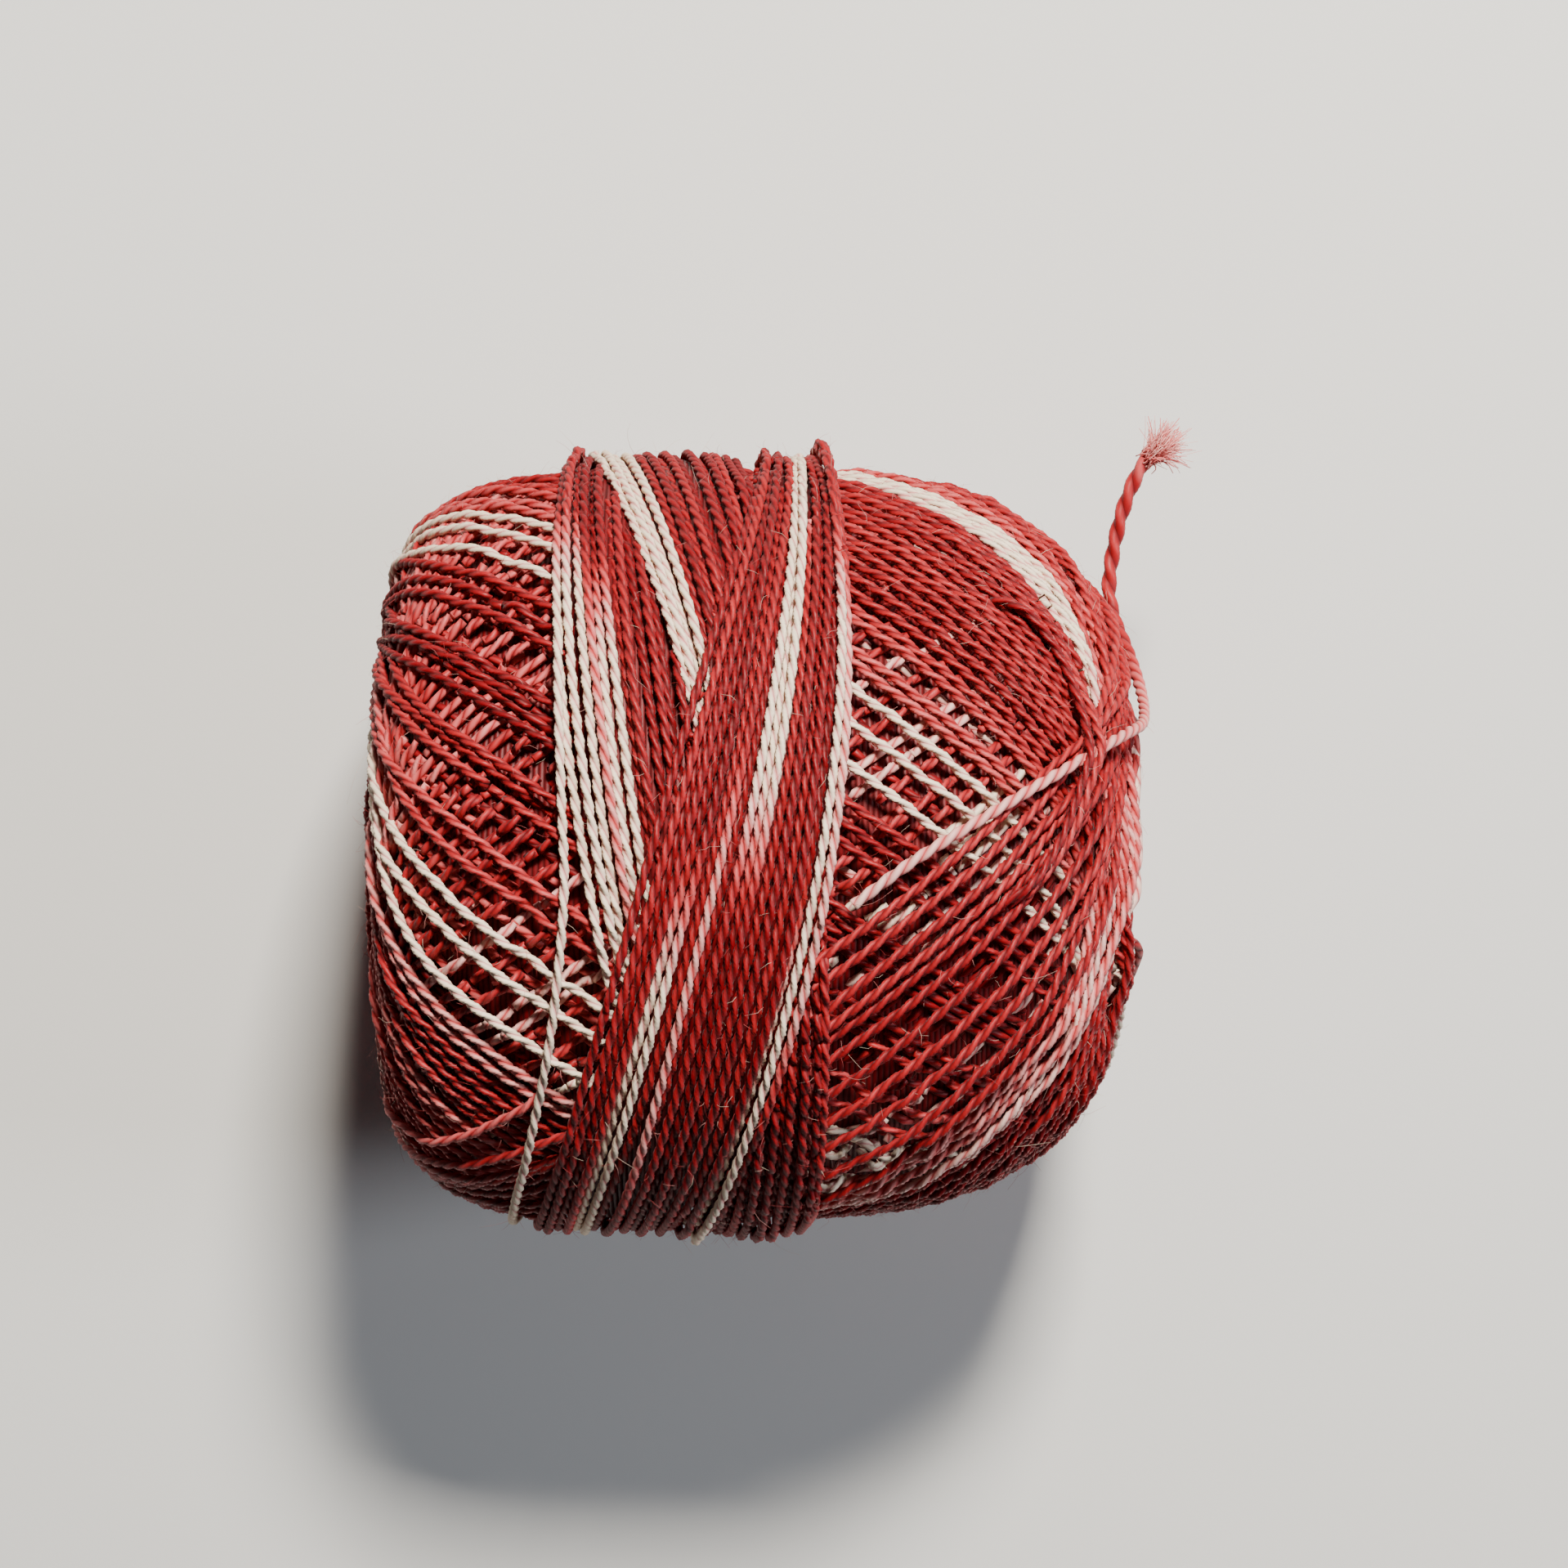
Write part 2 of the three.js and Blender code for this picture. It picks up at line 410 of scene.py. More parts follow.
    def _taut(self, route: Route, support: np.ndarray) -> np.ndarray:
        """Height of a taut thread over its supports.

        Over a body that curves away, a free stretch rises against the surface as a parabola. With
        that rise taken off, the taut thread is the lowest line over the supports that never bends
        upwards.

        Args:
            route: The thread's route.
            support: Lowest height that each point can have.

        Returns:
            The height of each point.
        """
        ahead = np.gradient(route.run) / route.step
        r = self.radius_at(route.run)
        across = np.gradient(route.angle) * r / route.step
        bend_along = np.interp(route.run, self.run, self.bend)
        bend_round = np.interp(route.run, self.run, self.out_r) / r
        bend = np.maximum(ahead**2 * bend_along + across**2 * bend_round, self.least_bend)
        rise = np.cumsum(np.cumsum(bend)) * route.step**2
        level = support - rise
        spots = np.arange(len(level)) * route.step
        hull = [0]
        for i in range(1, len(level)):
            while len(hull) > 1:
                a, b = hull[-2], hull[-1]
                last_slope = (level[b] - level[a]) * (spots[i] - spots[a])
                new_slope = (level[i] - level[a]) * (spots[b] - spots[a])
                if last_slope > new_slope:
                    break
                hull.pop()
            hull.append(i)
        taut = np.interp(spots, spots[hull], level[hull]) + rise
        return moving_mean(taut, max(3, int(self.stiff_length / route.step) | 1))

    def lay(self, route: Route, first_turn: float = 0.0, dive: float = 0.0) -> Thread:
        """Lays a thread on what is there and raises the map under it.

        Args:
            route: The thread's route.
            first_turn: Ply turns at the route's start.
            dive: How far the thread sinks between its neighbours at both ends.

        Returns:
            The laid thread.
        """
        firm = 1.0 - self.end_press * np.interp(route.run, self.run, self.end_share)
        support = np.full(len(route.run), -1.0)
        for offset, depth in CONTACT_SECTION:
            support = np.maximum(support, self.height[self._sideways(route, offset)] + depth * firm)
        height = self._taut(route, support)
        if dive:
            spots = np.arange(len(height)) * route.step
            near_end = np.minimum(spots, spots[-1] - spots)
            height = height - dive * (1.0 - smooth_step(near_end / self.dive_length))
        self._raise(route, height, firm)
        turns = first_turn + np.arange(len(height)) * route.step / PLY_PITCH
        return Thread(route.run, route.angle, height, turns, route.pale)

    def shows(self, thread: Thread) -> np.ndarray:
        """Marks the points where some of a thread's width is open to the sky, and those close by.

        Args:
            thread: The laid thread.

        Returns:
            A truth value for each point.
        """
        open_points = np.zeros(len(thread.run), dtype=bool)
        for offset, depth in CONTACT_SECTION:
            shown_below = thread.height + depth + self.show_margin
            open_points |= self.height[self._sideways(thread, offset)] < shown_below
        return widened(open_points, 6)

    def seat_belt(self, bundle: BeltBundle, above: tuple[BeltBundle, ...]) -> None:
        """Sets the map to where the belt's first, hidden turns hold its outer ones.

        Args:
            bundle: The bundle that the turns belong to.
            above: The bundles that later cross over this one and press it down.
        """
        angle = np.arange(self.around) / self.around * FULL_TURN
        x = np.repeat(self.x[:, None], self.around, axis=1)
        width = (bundle.right.at(angle) - bundle.left.at(angle))[None, :]
        inside = bundle.inside(x, angle[None, :]) / width
        share = smooth_step((inside - self.belt_start) / self.belt_blend)
        top = BELT_TOP - bundle.thickness(angle)[None, :]
        for other in above:
            crossed = smooth_step(other.inside(x, angle[None, :]) / MM)
            top = top - crossed * other.thickness(angle)[None, :]
        bulge = self.outline.near_bulge * np.sin(angle)[None, :]
        self.height += share * (top - self.r[:, None] - bulge - self.height)
        self.belt_share = np.maximum(self.belt_share, share)

    def raise_under(self, points: np.ndarray, radius: float, reach: float = 1.5 * MM) -> None:
        """Raises the map to the top of a cord where it lies on the winding.

        Args:
            points: The cord's middle line, N by 3.
            radius: Its radius.
            reach: Height up to which the cord counts as lying on the winding.
        """
        from_axis = np.hypot(points[:, 1], points[:, 2] - AXIS_HEIGHT)
        row = np.hypot(points[:, :1] - self.x, from_axis[:, None] - self.r).argmin(axis=1)
        angle = np.arctan2(-points[:, 1], points[:, 2] - AXIS_HEIGHT)
        over = (points[:, 0] - self.x[row]) * self.out_x[row]
        over = over + (from_axis - self.r[row]) * self.out_r[row]
        plain = np.zeros(len(row))
        wide = radius / CONTACT_RADIUS
        for part in Thread(self.run[row], angle, over, turns=plain, pale=plain).cut(over < reach):
            self._raise(part, part.height, firm=wide, wide=wide)

    def settle(self, threads: list[Thread], level: np.ndarray | float, reach: int = 10) -> None:
        """Lets the winding sink where, averaged over a small square, it stands too high.

        Args:
            threads: The threads that sink with it.
            level: Height against the outline that the average may have.
            reach: Half the square's side, in cells.
        """
        sink = np.maximum(self.softened(reach) - level, 0.0)
        self.height -= sink
        for thread in threads:
            thread.height = thread.height - sink[self.cells(thread.run, thread.angle)]

    def smooth_ends(self, threads: list[Thread], window: int = 27) -> None:
        """Smooths the threads, most where they turn round the ends, and draws the map anew.

        Args:
            threads: All the threads laid so far.
            window: Number of a thread's points to average over.
        """
        self.height = self.softened(6) - self.clear_depth * self.away_from_poles()
        for thread in threads:
            share = np.interp(thread.run, self.run, self.end_share)
            thread.height = moving_mean(thread.height, window // 3)
            thread.height = thread.height + share * (moving_mean(thread.height, window) - thread.height)
            self._raise(thread, thread.height)

    def softened(self, reach: int) -> np.ndarray:
        """The map averaged over a square of cells that reaches so far to each side.

        Args:
            reach: Number of cells to each side.

        Returns:
            The averaged map.
        """
        size = 2 * reach + 1
        wide = np.concatenate([self.height[:, -reach:], self.height, self.height[:, :reach]], axis=1)
        total = np.cumsum(np.pad(wide, ((0, 0), (1, 0))), axis=1)
        across = (total[:, size:] - total[:, :-size]) / size
        tall = np.pad(across, ((reach, reach), (0, 0)), mode="edge")
        total = np.cumsum(np.pad(tall, ((1, 0), (0, 0))), axis=0)
        return (total[size:] - total[:-size]) / size


@dataclass(frozen=True)
class TurnGroup:
    """Neighbouring crossing turns of like dye.

    The first passes the middle of the ball at the angle first, and the others follow at the
    spacing, both in degrees. Their dye is pale, from 0, deep red, to 1, cream. On the way back it is
    back, where that is given.
    """

    first: float
    spacing: float
    count: int
    pale: float
    back: float | None = None

    def starts(self) -> np.ndarray:
        """Angles in degrees at which the turns pass the middle of the ball."""
        return self.first - self.spacing * np.arange(self.count)

    def dyes(self) -> np.ndarray:
        """Dye of each turn on the way out and on the way back, N by 2."""
        return np.full((self.count, 2), (self.pale, self.pale if self.back is None else self.back))


LAST_ROUND = (
    TurnGroup(206.0, 2.6, 3, 0.93),
    TurnGroup(196.5, 4.0, 3, 0.30),
    TurnGroup(184.0, 3.0, 2, 0.75),
    TurnGroup(177.0, 4.0, 2, 0.28),
    TurnGroup(169.0, 3.0, 1, 0.80),
    TurnGroup(164.0, 3.5, 4, 0.22),
    TurnGroup(150.0, 3.5, 4, 0.33),
    TurnGroup(136.5, 3.0, 1, 0.60),
    TurnGroup(133.0, 2.4, 3, 0.97, 0.5),
    TurnGroup(124.5, 3.0, 1, 0.50),
    TurnGroup(120.0, 2.4, 2, 0.93, 0.4),
    TurnGroup(113.5, 3.0, 2, 0.85, 0.45),
    TurnGroup(107.0, 3.3, 3, 0.42),
    TurnGroup(97.0, 3.3, 4, 0.45),
    TurnGroup(84.0, 2.8, 3, 0.52),
    TurnGroup(75.5, 2.6, 5, 0.26),
    TurnGroup(61.5, 2.9, 2, 0.62),
    TurnGroup(51.8, 8.2, 1, 1.00),
    TurnGroup(43.6, 4.9, 2, 1.00),
    TurnGroup(31.3, 4.3, 2, 0.42),
    TurnGroup(18.0, 2.2, 3, 0.30),
    TurnGroup(6.0, 1.8, 4, 0.12),
    TurnGroup(-9.2, 3.1, 3, 0.20),
    TurnGroup(-21.2, 5.8, 3, 1.00),
    TurnGroup(-36.8, 2.2, 2, 0.45),
    TurnGroup(-44.6, 2.0, 2, 0.36),
    TurnGroup(-50.0, 3.0, 6, 0.26),
    TurnGroup(-68.0, 3.0, 6, 0.20, 0.15),
    TurnGroup(-86.0, 3.0, 4, 0.90, 0.18),
    TurnGroup(-97.5, 2.0, 2, 0.38, 0.76),
    TurnGroup(-102.5, 2.2, 3, 0.42, 0.62),
    TurnGroup(-112.0, 3.0, 2, 0.30, 0.2),
    TurnGroup(-123.0, 5.0, 3, 0.25, 0.2),
    TurnGroup(-139.0, 3.5, 2, 0.25, 0.22),
    TurnGroup(-146.0, 2.0, 2, 0.30),
    TurnGroup(-152.0, 5.0, 2, 0.33),
)


@dataclass(frozen=True)
class HiddenRound:
    """A round of earlier turns, of which little shows, with how near the axis they turn back."""

    turning_radius: float
    turns: int


@dataclass
class CrossingTurns:
    """The turns that run slantwise from end to end, one round over another."""

    surface: WindingSurface
    step: float = 0.15 * MM
    turning_radius: float = 12.4 * MM
    # How far a turn may slide to find its place, and the share of its reach from which it slides.
    spread: float = 1.8 * MM
    shoulder: float = 0.62
    # How far a turn strays to the side of its way.
    wander: float = 0.06 * MM
    # Angle between the last turn of a round and the one that would follow it.
    last_gap: float = math.radians(3.0)
    # Height against the outline that the winding may have.
    settled_level: float = -0.25 * MM
    # Shares of a turn between which its dye changes, in pairs with one dye at both.
    dye_marks: tuple[float, ...] = (0.0, 0.18, 0.3, 0.66, 0.85, 1.0)
    laid: list[Thread] = field(default_factory=list)
    hidden_rounds: tuple[HiddenRound, ...] = (
        HiddenRound(4.5 * MM, 34),
        HiddenRound(7.0 * MM, 44),
        HiddenRound(9.4 * MM, 56),
        HiddenRound(11.2 * MM, 66),
        HiddenRound(12.4 * MM, 80),
    )

    def _cycle(self, turning_radius: float) -> tuple[np.ndarray, np.ndarray]:
        """Follows one turn from the middle of the ball over both ends and back.

        The thread keeps the sine of its angle to the outline times the radius, as a taut thread
        does on any round body, so it turns back where the radius has shrunk to the turning radius.

        Args:
            turning_radius: Radius at which the turn comes nearest to the axis.

        Returns:
            Length along the outline and angle round the axis at even steps along the thread.
        """
        surface = self.surface
        middle = surface.middle_run()
        run, angle = middle, 0.0
        lean = math.asin(turning_radius / float(np.interp(run, surface.run, surface.r)))
        radii = surface.r.tolist()
        slopes = surface.slope_r.tolist()
        fine = self.step / 3
        runs, angles = [run], [angle]
        beyond = False
        while not (beyond and run >= middle):
            row = int(run / surface.cell + 0.5)
            r = max(radii[row], surface.least_radius)
            run += math.cos(lean) * fine
            angle += math.sin(lean) / r * fine
            lean -= slopes[row] / r * math.sin(lean) * fine
            runs.append(run)
            angles.append(angle)
            beyond = beyond or run < middle
        return np.array(runs[::3]), np.array(angles[::3])

    def _wind_round(
        self, starts: np.ndarray, pale: np.ndarray, radius: float, seed: int
    ) -> list[Thread]:
        """Lays the turns of one round in order.

        Args:
            starts: Angle at which each turn passes the middle of the ball.
            pale: Dye of each turn on the way out and on the way back, N by 2.
            radius: Middle of the radii at which the turns come nearest to the axis.
            seed: Seed of the small differences between turns.

        Returns:
            The laid turns.
        """
        random = np.random.default_rng(seed)
        runs, angles = self._cycle(radius)
        share = np.arange(len(runs)) / (len(runs) - 1)
        threads = []
        for i, start in enumerate(starts):
            following = starts[i + 1] if i + 1 < len(starts) else start - self.last_gap
            sway = random.normal(0.0, self.wander, 13)
            wander = np.interp(share * 12, np.arange(13), sway) / (12 * MM)
            dyes = np.repeat([pale[i, 0], pale[i, 1], pale[min(i + 1, len(pale) - 1), 0]], 2)
            angle = start + angles * (FULL_TURN + following - start) / angles[-1] + wander
            route = Route(
                run=self._slid(runs, angle, random),
                angle=angle,
                step=self.step,
                pale=np.interp(share, self.dye_marks, dyes),
            )
            threads.append(self.surface.lay(route, first_turn=float(random.uniform(0.0, 1.0))))
            self.laid.append(threads[-1])
            if i % 4 == 3:
                self.surface.settle(self.laid, self.settled_level)
        return threads

    def _slid(self, run: np.ndarray, angle: np.ndarray, random: np.random.Generator) -> np.ndarray:
        """Lets a turn slide to or from the axis at both ends, to where the winding is lowest.

        Args:
            run: Length along the outline at each point of the turn.
            angle: Angle round the axis there.
            random: Source of small differences.

        Returns:
            The lengths along the outline after the slide.
        """
        surface = self.surface
        away = run - surface.middle_run()
        slid = run.copy()
        for side in (-1.0, 1.0):
            reach = float((away * side).max())
            beyond = away * side - self.shoulder * reach
            share = smooth_step(beyond / ((1.0 - self.shoulder) * reach))
            zone = np.flatnonzero(share > 0.5)[::2]
            best = 0.0
            best_level = math.inf
            for shift in np.linspace(-1.0, 1.0, 13) * self.spread * side:
                cells = surface.cells(run[zone] + shift * share[zone], angle[zone])
                level = surface.height[cells].mean()
                level += abs(shift) * 0.05 + random.uniform(0.0, 0.1 * MM)
                if level < best_level:
                    best = shift
                    best_level = level
            slid += best * share
        return slid

    def wind_hidden(self) -> list[list[Thread]]:
        """Lays the earlier rounds.

        Returns:
            The turns of each round.
        """
        rounds = []
        for number, hidden in enumerate(self.hidden_rounds):
            random = np.random.default_rng(SEED + number)
            gaps = random.choice([2.0, 2.6, 4.4, 6.4], size=hidden.turns, p=[0.25, 0.3, 0.25, 0.2])
            starts = math.radians(206.0) + np.cumsum(gaps)[::-1] * FULL_TURN / gaps.sum()
            dyes = random.choice([0.12, 0.22, 0.32, 0.45, 0.8], hidden.turns)
            clusters = np.repeat(dyes, 3)[: hidden.turns]
            pale = np.stack([clusters, clusters], axis=1)
            rounds.append(self._wind_round(starts, pale, hidden.turning_radius, SEED + 20 + number))
        return rounds

    def wind_last(self) -> list[Thread]:
        """Lays the last round, as the photograph shows it.

        Returns:
            The turns, of which the last goes only half way.
        """
        random = np.random.default_rng(SEED + 40)
        starts = np.concatenate([group.starts() for group in LAST_ROUND])
        pale = np.concatenate([group.dyes() for group in LAST_ROUND])
        pale = np.clip(pale + random.normal(0.0, 0.04, pale.shape), 0.0, 1.0)
        threads = self._wind_round(np.radians(starts), pale, self.turning_radius, SEED + 41)
        half = len(threads[-1].run) // 2
        threads[-1] = threads[-1].cut(np.arange(len(threads[-1].run)) < half)[0]
        return threads

    def expected_depth(self) -> np.ndarray:
        """Thickness of all the rounds at each row, from how much thread passes each radius.

        Returns:
            The thickness at each row of the map.
        """
        radii = self.surface.r
        last_turns = sum(group.count for group in LAST_ROUND)
        depth = np.zeros(len(radii))
        for hidden in self.hidden_rounds + (HiddenRound(self.turning_radius, last_turns),):
            for back in hidden.turning_radius + np.linspace(-1.0, 1.0, 7) * self.spread:
                share = back / np.maximum(radii, back)
                upright = np.sqrt(np.maximum(1.0 - share**2, 0.05))
                room = math.pi * np.maximum(radii, back) * upright
                layers = hidden.turns * 2 * CONTACT_RADIUS / room
                depth += np.where(radii > back, layers, 0.0) * 1.6 * CONTACT_RADIUS / 7
        return depth


@dataclass(frozen=True)
class Streak:
    """Neighbouring belt turns that are pale between two angles in degrees."""

    first: int
    count: int
    start: float
    end: float
    pale: float = 1.0


@dataclass
class Belt:
    """The raised band of nearly parallel turns about the ball's middle, in bundles that cross."""

    surface: WindingSurface
    step: float = 0.2 * MM
    # How far a turn strays to the side of its way, and the angle over which a streak fades.
    wander: float = 0.09 * MM
    soft_end: float = 34.0
    streaks: dict[str, tuple[Streak, ...]] = field(
        default_factory=lambda: {
            "belt_under": (
                Streak(0, 3, -50.0, 45.0, 0.97),
                Streak(3, 1, -40.0, 45.0, 0.62),
                Streak(4, 2, -38.0, 40.0, 0.97),
            ),
            "belt_middle": (
                Streak(0, 4, -150.0, -8.0, 0.93),
                Streak(12, 1, 20.0, 150.0, 0.5),
            ),
            "belt_over": (
                Streak(4, 2, 8.0, 220.0, 0.97),
                Streak(7, 1, -10.0, 60.0, 0.68),
                Streak(9, 3, -150.0, 2.0, 0.97),
                Streak(12, 1, -150.0, -50.0, 0.8),
                Streak(17, 1, -45.0, 120.0, 0.93),
                Streak(16, 1, 10.0, 130.0, 0.85),
                Streak(18, 1, -40.0, 35.0, 0.75),
            ),
        }
    )

    def _pale(self, bundle: BeltBundle, turn: int, degrees: np.ndarray) -> np.ndarray:
        """Paleness of a belt turn at each angle, with soft ends to its streaks.

        Args:
            bundle: The bundle that the turn belongs to.
            turn: Its number from the left.
            degrees: The angles round the axis.

        Returns:
            Its paleness at each angle.
        """
        angle = np.radians(degrees)
        pale = 0.14 + 0.08 * np.sin(turn * 2.3 + angle) + 0.06 * np.sin(turn * 1.1 - angle)
        for streak in self.streaks[bundle.name]:
            if streak.first <= turn < streak.first + streak.count:
                middle = (streak.start + streak.end) / 2
                half = (streak.end - streak.start) / 2
                away = np.abs((degrees - middle + 180.0) % 360.0 - 180.0)
                share = smooth_step((half + self.soft_end / 2 - away) / self.soft_end)
                pale = np.maximum(pale, share * streak.pale)
        return pale

    def _route(self, bundle: BeltBundle, turn: int, random: np.random.Generator) -> Route:
        """Works out the way of one belt turn.

        Args:
            bundle: The bundle that the turn belongs to.
            turn: Its number from the left.
            random: Source of its small wanderings.

        Returns:
            The turn's route, which begins on the underside.
        """
        surface = self.surface
        count = int(FULL_TURN * BELT_TOP / self.step)
        around = np.arange(count) / (count - 1)
        angle = math.pi + around * FULL_TURN
        share = (turn + 0.5 + smooth_step((around - 0.93) / 0.07)) / bundle.turns
        left = bundle.left.at(angle)
        right = bundle.right.at(angle)
        wander = np.interp(around * 9, np.arange(10), random.normal(0.0, self.wander, 10))
        x = left + (right - left) * np.minimum(share, 1.0) + wander
        return Route(surface.run_at(x), angle, self.step, self._pale(bundle, turn, np.degrees(angle)))

    def wind(self, bundle: BeltBundle) -> list[Thread]:
        """Lays the turns of one bundle.

        Every other turn comes first and the rest settle between them, which keeps the bundle flat
        where it is wide and makes two layers where it is narrow.

        Args:
            bundle: The bundle.

        Returns:
            The laid turns.
        """
        random = np.random.default_rng(SEED + len(bundle.name))
        order = list(range(0, bundle.turns, 2)) + list(range(1, bundle.turns, 2))
        threads = []
        for turn in order:
            route = self._route(bundle, turn, random)
            threads.append(self.surface.lay(route, first_turn=float(random.uniform(0.0, 1.0))))
        return threads


@dataclass(frozen=True)
class StrayTurn:
    """A thread that has slipped out of the order, as spots of x in mm and angle in degrees."""

    spots: tuple[tuple[float, float], ...]
    pale: float
    offset: float = 0.0

    def route(self, surface: WindingSurface, step: float = 0.15 * MM) -> Route:
        """Draws a smooth line through the spots, at an offset along the ball.

        Args:
            surface: Surface that the thread lies on.
            step: Distance between the route's points.

        Returns:
            The route.
        """
        x = np.array([spot[0] for spot in self.spots]) * MM + self.offset
        angle = np.radians([spot[1] for spot in self.spots])
        run = surface.run_at(x)
        radius = np.interp(run, surface.run, surface.r)
        flat = np.stack([run, angle * radius.mean(), np.zeros(len(run))], axis=1)
        line = smooth_line(flat, step)
        angle = line[:, 1] / radius.mean()
        return Route(line[:, 0], angle, step, np.full(len(line), self.pale))


SLIPPED_TURN = StrayTurn(
    spots=(
        (12.6, -45.2),
        (13.96, -41.7),
        (15.48, -38.2),
        (16.56, -33.6),
        (17.25, -26.2),
        (17.41, -18.0),
        (17.03, -9.8),
        (16.45, -2.9),
        (15.41, 3.3),
        (14.1, 7.7),
        (12.59, 11.5),
    ),
    pale=0.33,
)
SLIPPED_TURN_BESIDE = StrayTurn(spots=SLIPPED_TURN.spots, pale=0.12, offset=-0.52 * MM)
SALMON_TURN = StrayTurn(
    spots=(
        (-20.3, 64.5),
        (-19.4, 59.5),
        (-17.69, 55.7),
        (-16.52, 52.3),
        (-14.82, 47.9),
        (-13.34, 44.0),
        (-11.81, 40.2),
        (-10.17, 36.0),
    ),
    pale=0.5,
)
EDGE_TURN = StrayTurn(
    spots=(
        (-10.1, -34.0),
        (-9.95, -20.0),
        (-9.75, -6.0),
        (-9.63, 7.4),
        (-10.35, 26.0),
        (-11.7, 46.0),
        (-12.93, 65.6),
        (-13.5, 85.0),
        (-12.9, 112.0),
        (-11.0, 140.0),
        (-9.0, 160.0),
    ),
    pale=0.94,
)


def smooth_line(points: np.ndarray, step: float) -> np.ndarray:
    """Draws a centripetal Catmull-Rom line through points.

    Args:
        points: The points, N by 3.
        step: Wanted distance between the line's points.

    Returns:
        The line's points at nearly even steps.
    """
    ends = np.concatenate([[2 * points[0] - points[1]], points, [2 * points[-1] - points[-2]]])
    knots = np.concatenate([[0.0], np.cumsum(np.linalg.norm(np.diff(ends, axis=0), axis=1) ** 0.5)])
    line = []
    for i in range(1, len(ends) - 2):
        a, b, c, d = ends[i - 1 : i + 3]
        ka, kb, kc, kd = knots[i - 1 : i + 3]
        k = np.linspace(kb, kc, 24, endpoint=False)[:, None]
        ab = a + (b - a) * (k - ka) / (kb - ka)
        bc = b + (c - b) * (k - kb) / (kc - kb)
        cd = c + (d - c) * (k - kc) / (kd - kc)
        abc = ab + (bc - ab) * (k - ka) / (kc - ka)
        bcd = bc + (cd - bc) * (k - kb) / (kd - kb)
        line.append(abc + (bcd - abc) * (k - kb) / (kc - kb))
    whole = np.concatenate(line + [points[-1:]])
    run = run_along(whole)
    even = np.linspace(0.0, run[-1], max(4, int(round(run[-1] / step)) + 1))
    return np.stack([np.interp(even, run, whole[:, i]) for i in range(3)], axis=1)


@dataclass
class Strand:
    """A stretch of thread ready to be given its thickness.

    The points follow its middle, up points away from the body, turns counts the turns of its plies,
    pale is its dye, and there is a radius for each point.
    """

    points: np.ndarray
    up: np.ndarray
    turns: np.ndarray
    pale: np.ndarray
    radius: np.ndarray


class Detail(Enum):
    """How finely a strand is modelled.

    The values are the sides of its section, the rings in a turn of its plies, whether the plies
    show, and the share of its width that is left at the groove between them.
    """

    TWISTED = (8, 8.5, True, 0.62)
    PLAIN = (5, 4.4, False, 0.74)
    LOOSE = (12, 20.0, True, 0.7)
    FIBRE = (3, 4.0, False, 1.0)

    @property
    def sides(self) -> int:
        """Number of sides of the section."""
        return self.value[0]

    @property
    def rings(self) -> float:
        """Number of rings in one turn of the plies."""
        return self.value[1]

    @property
    def twisted(self) -> bool:
        """Whether the section has two plies and turns along the thread."""
        return self.value[2]

    @property
    def waist(self) -> float:
        """Share of the width that is left at the groove."""
        return self.value[3]


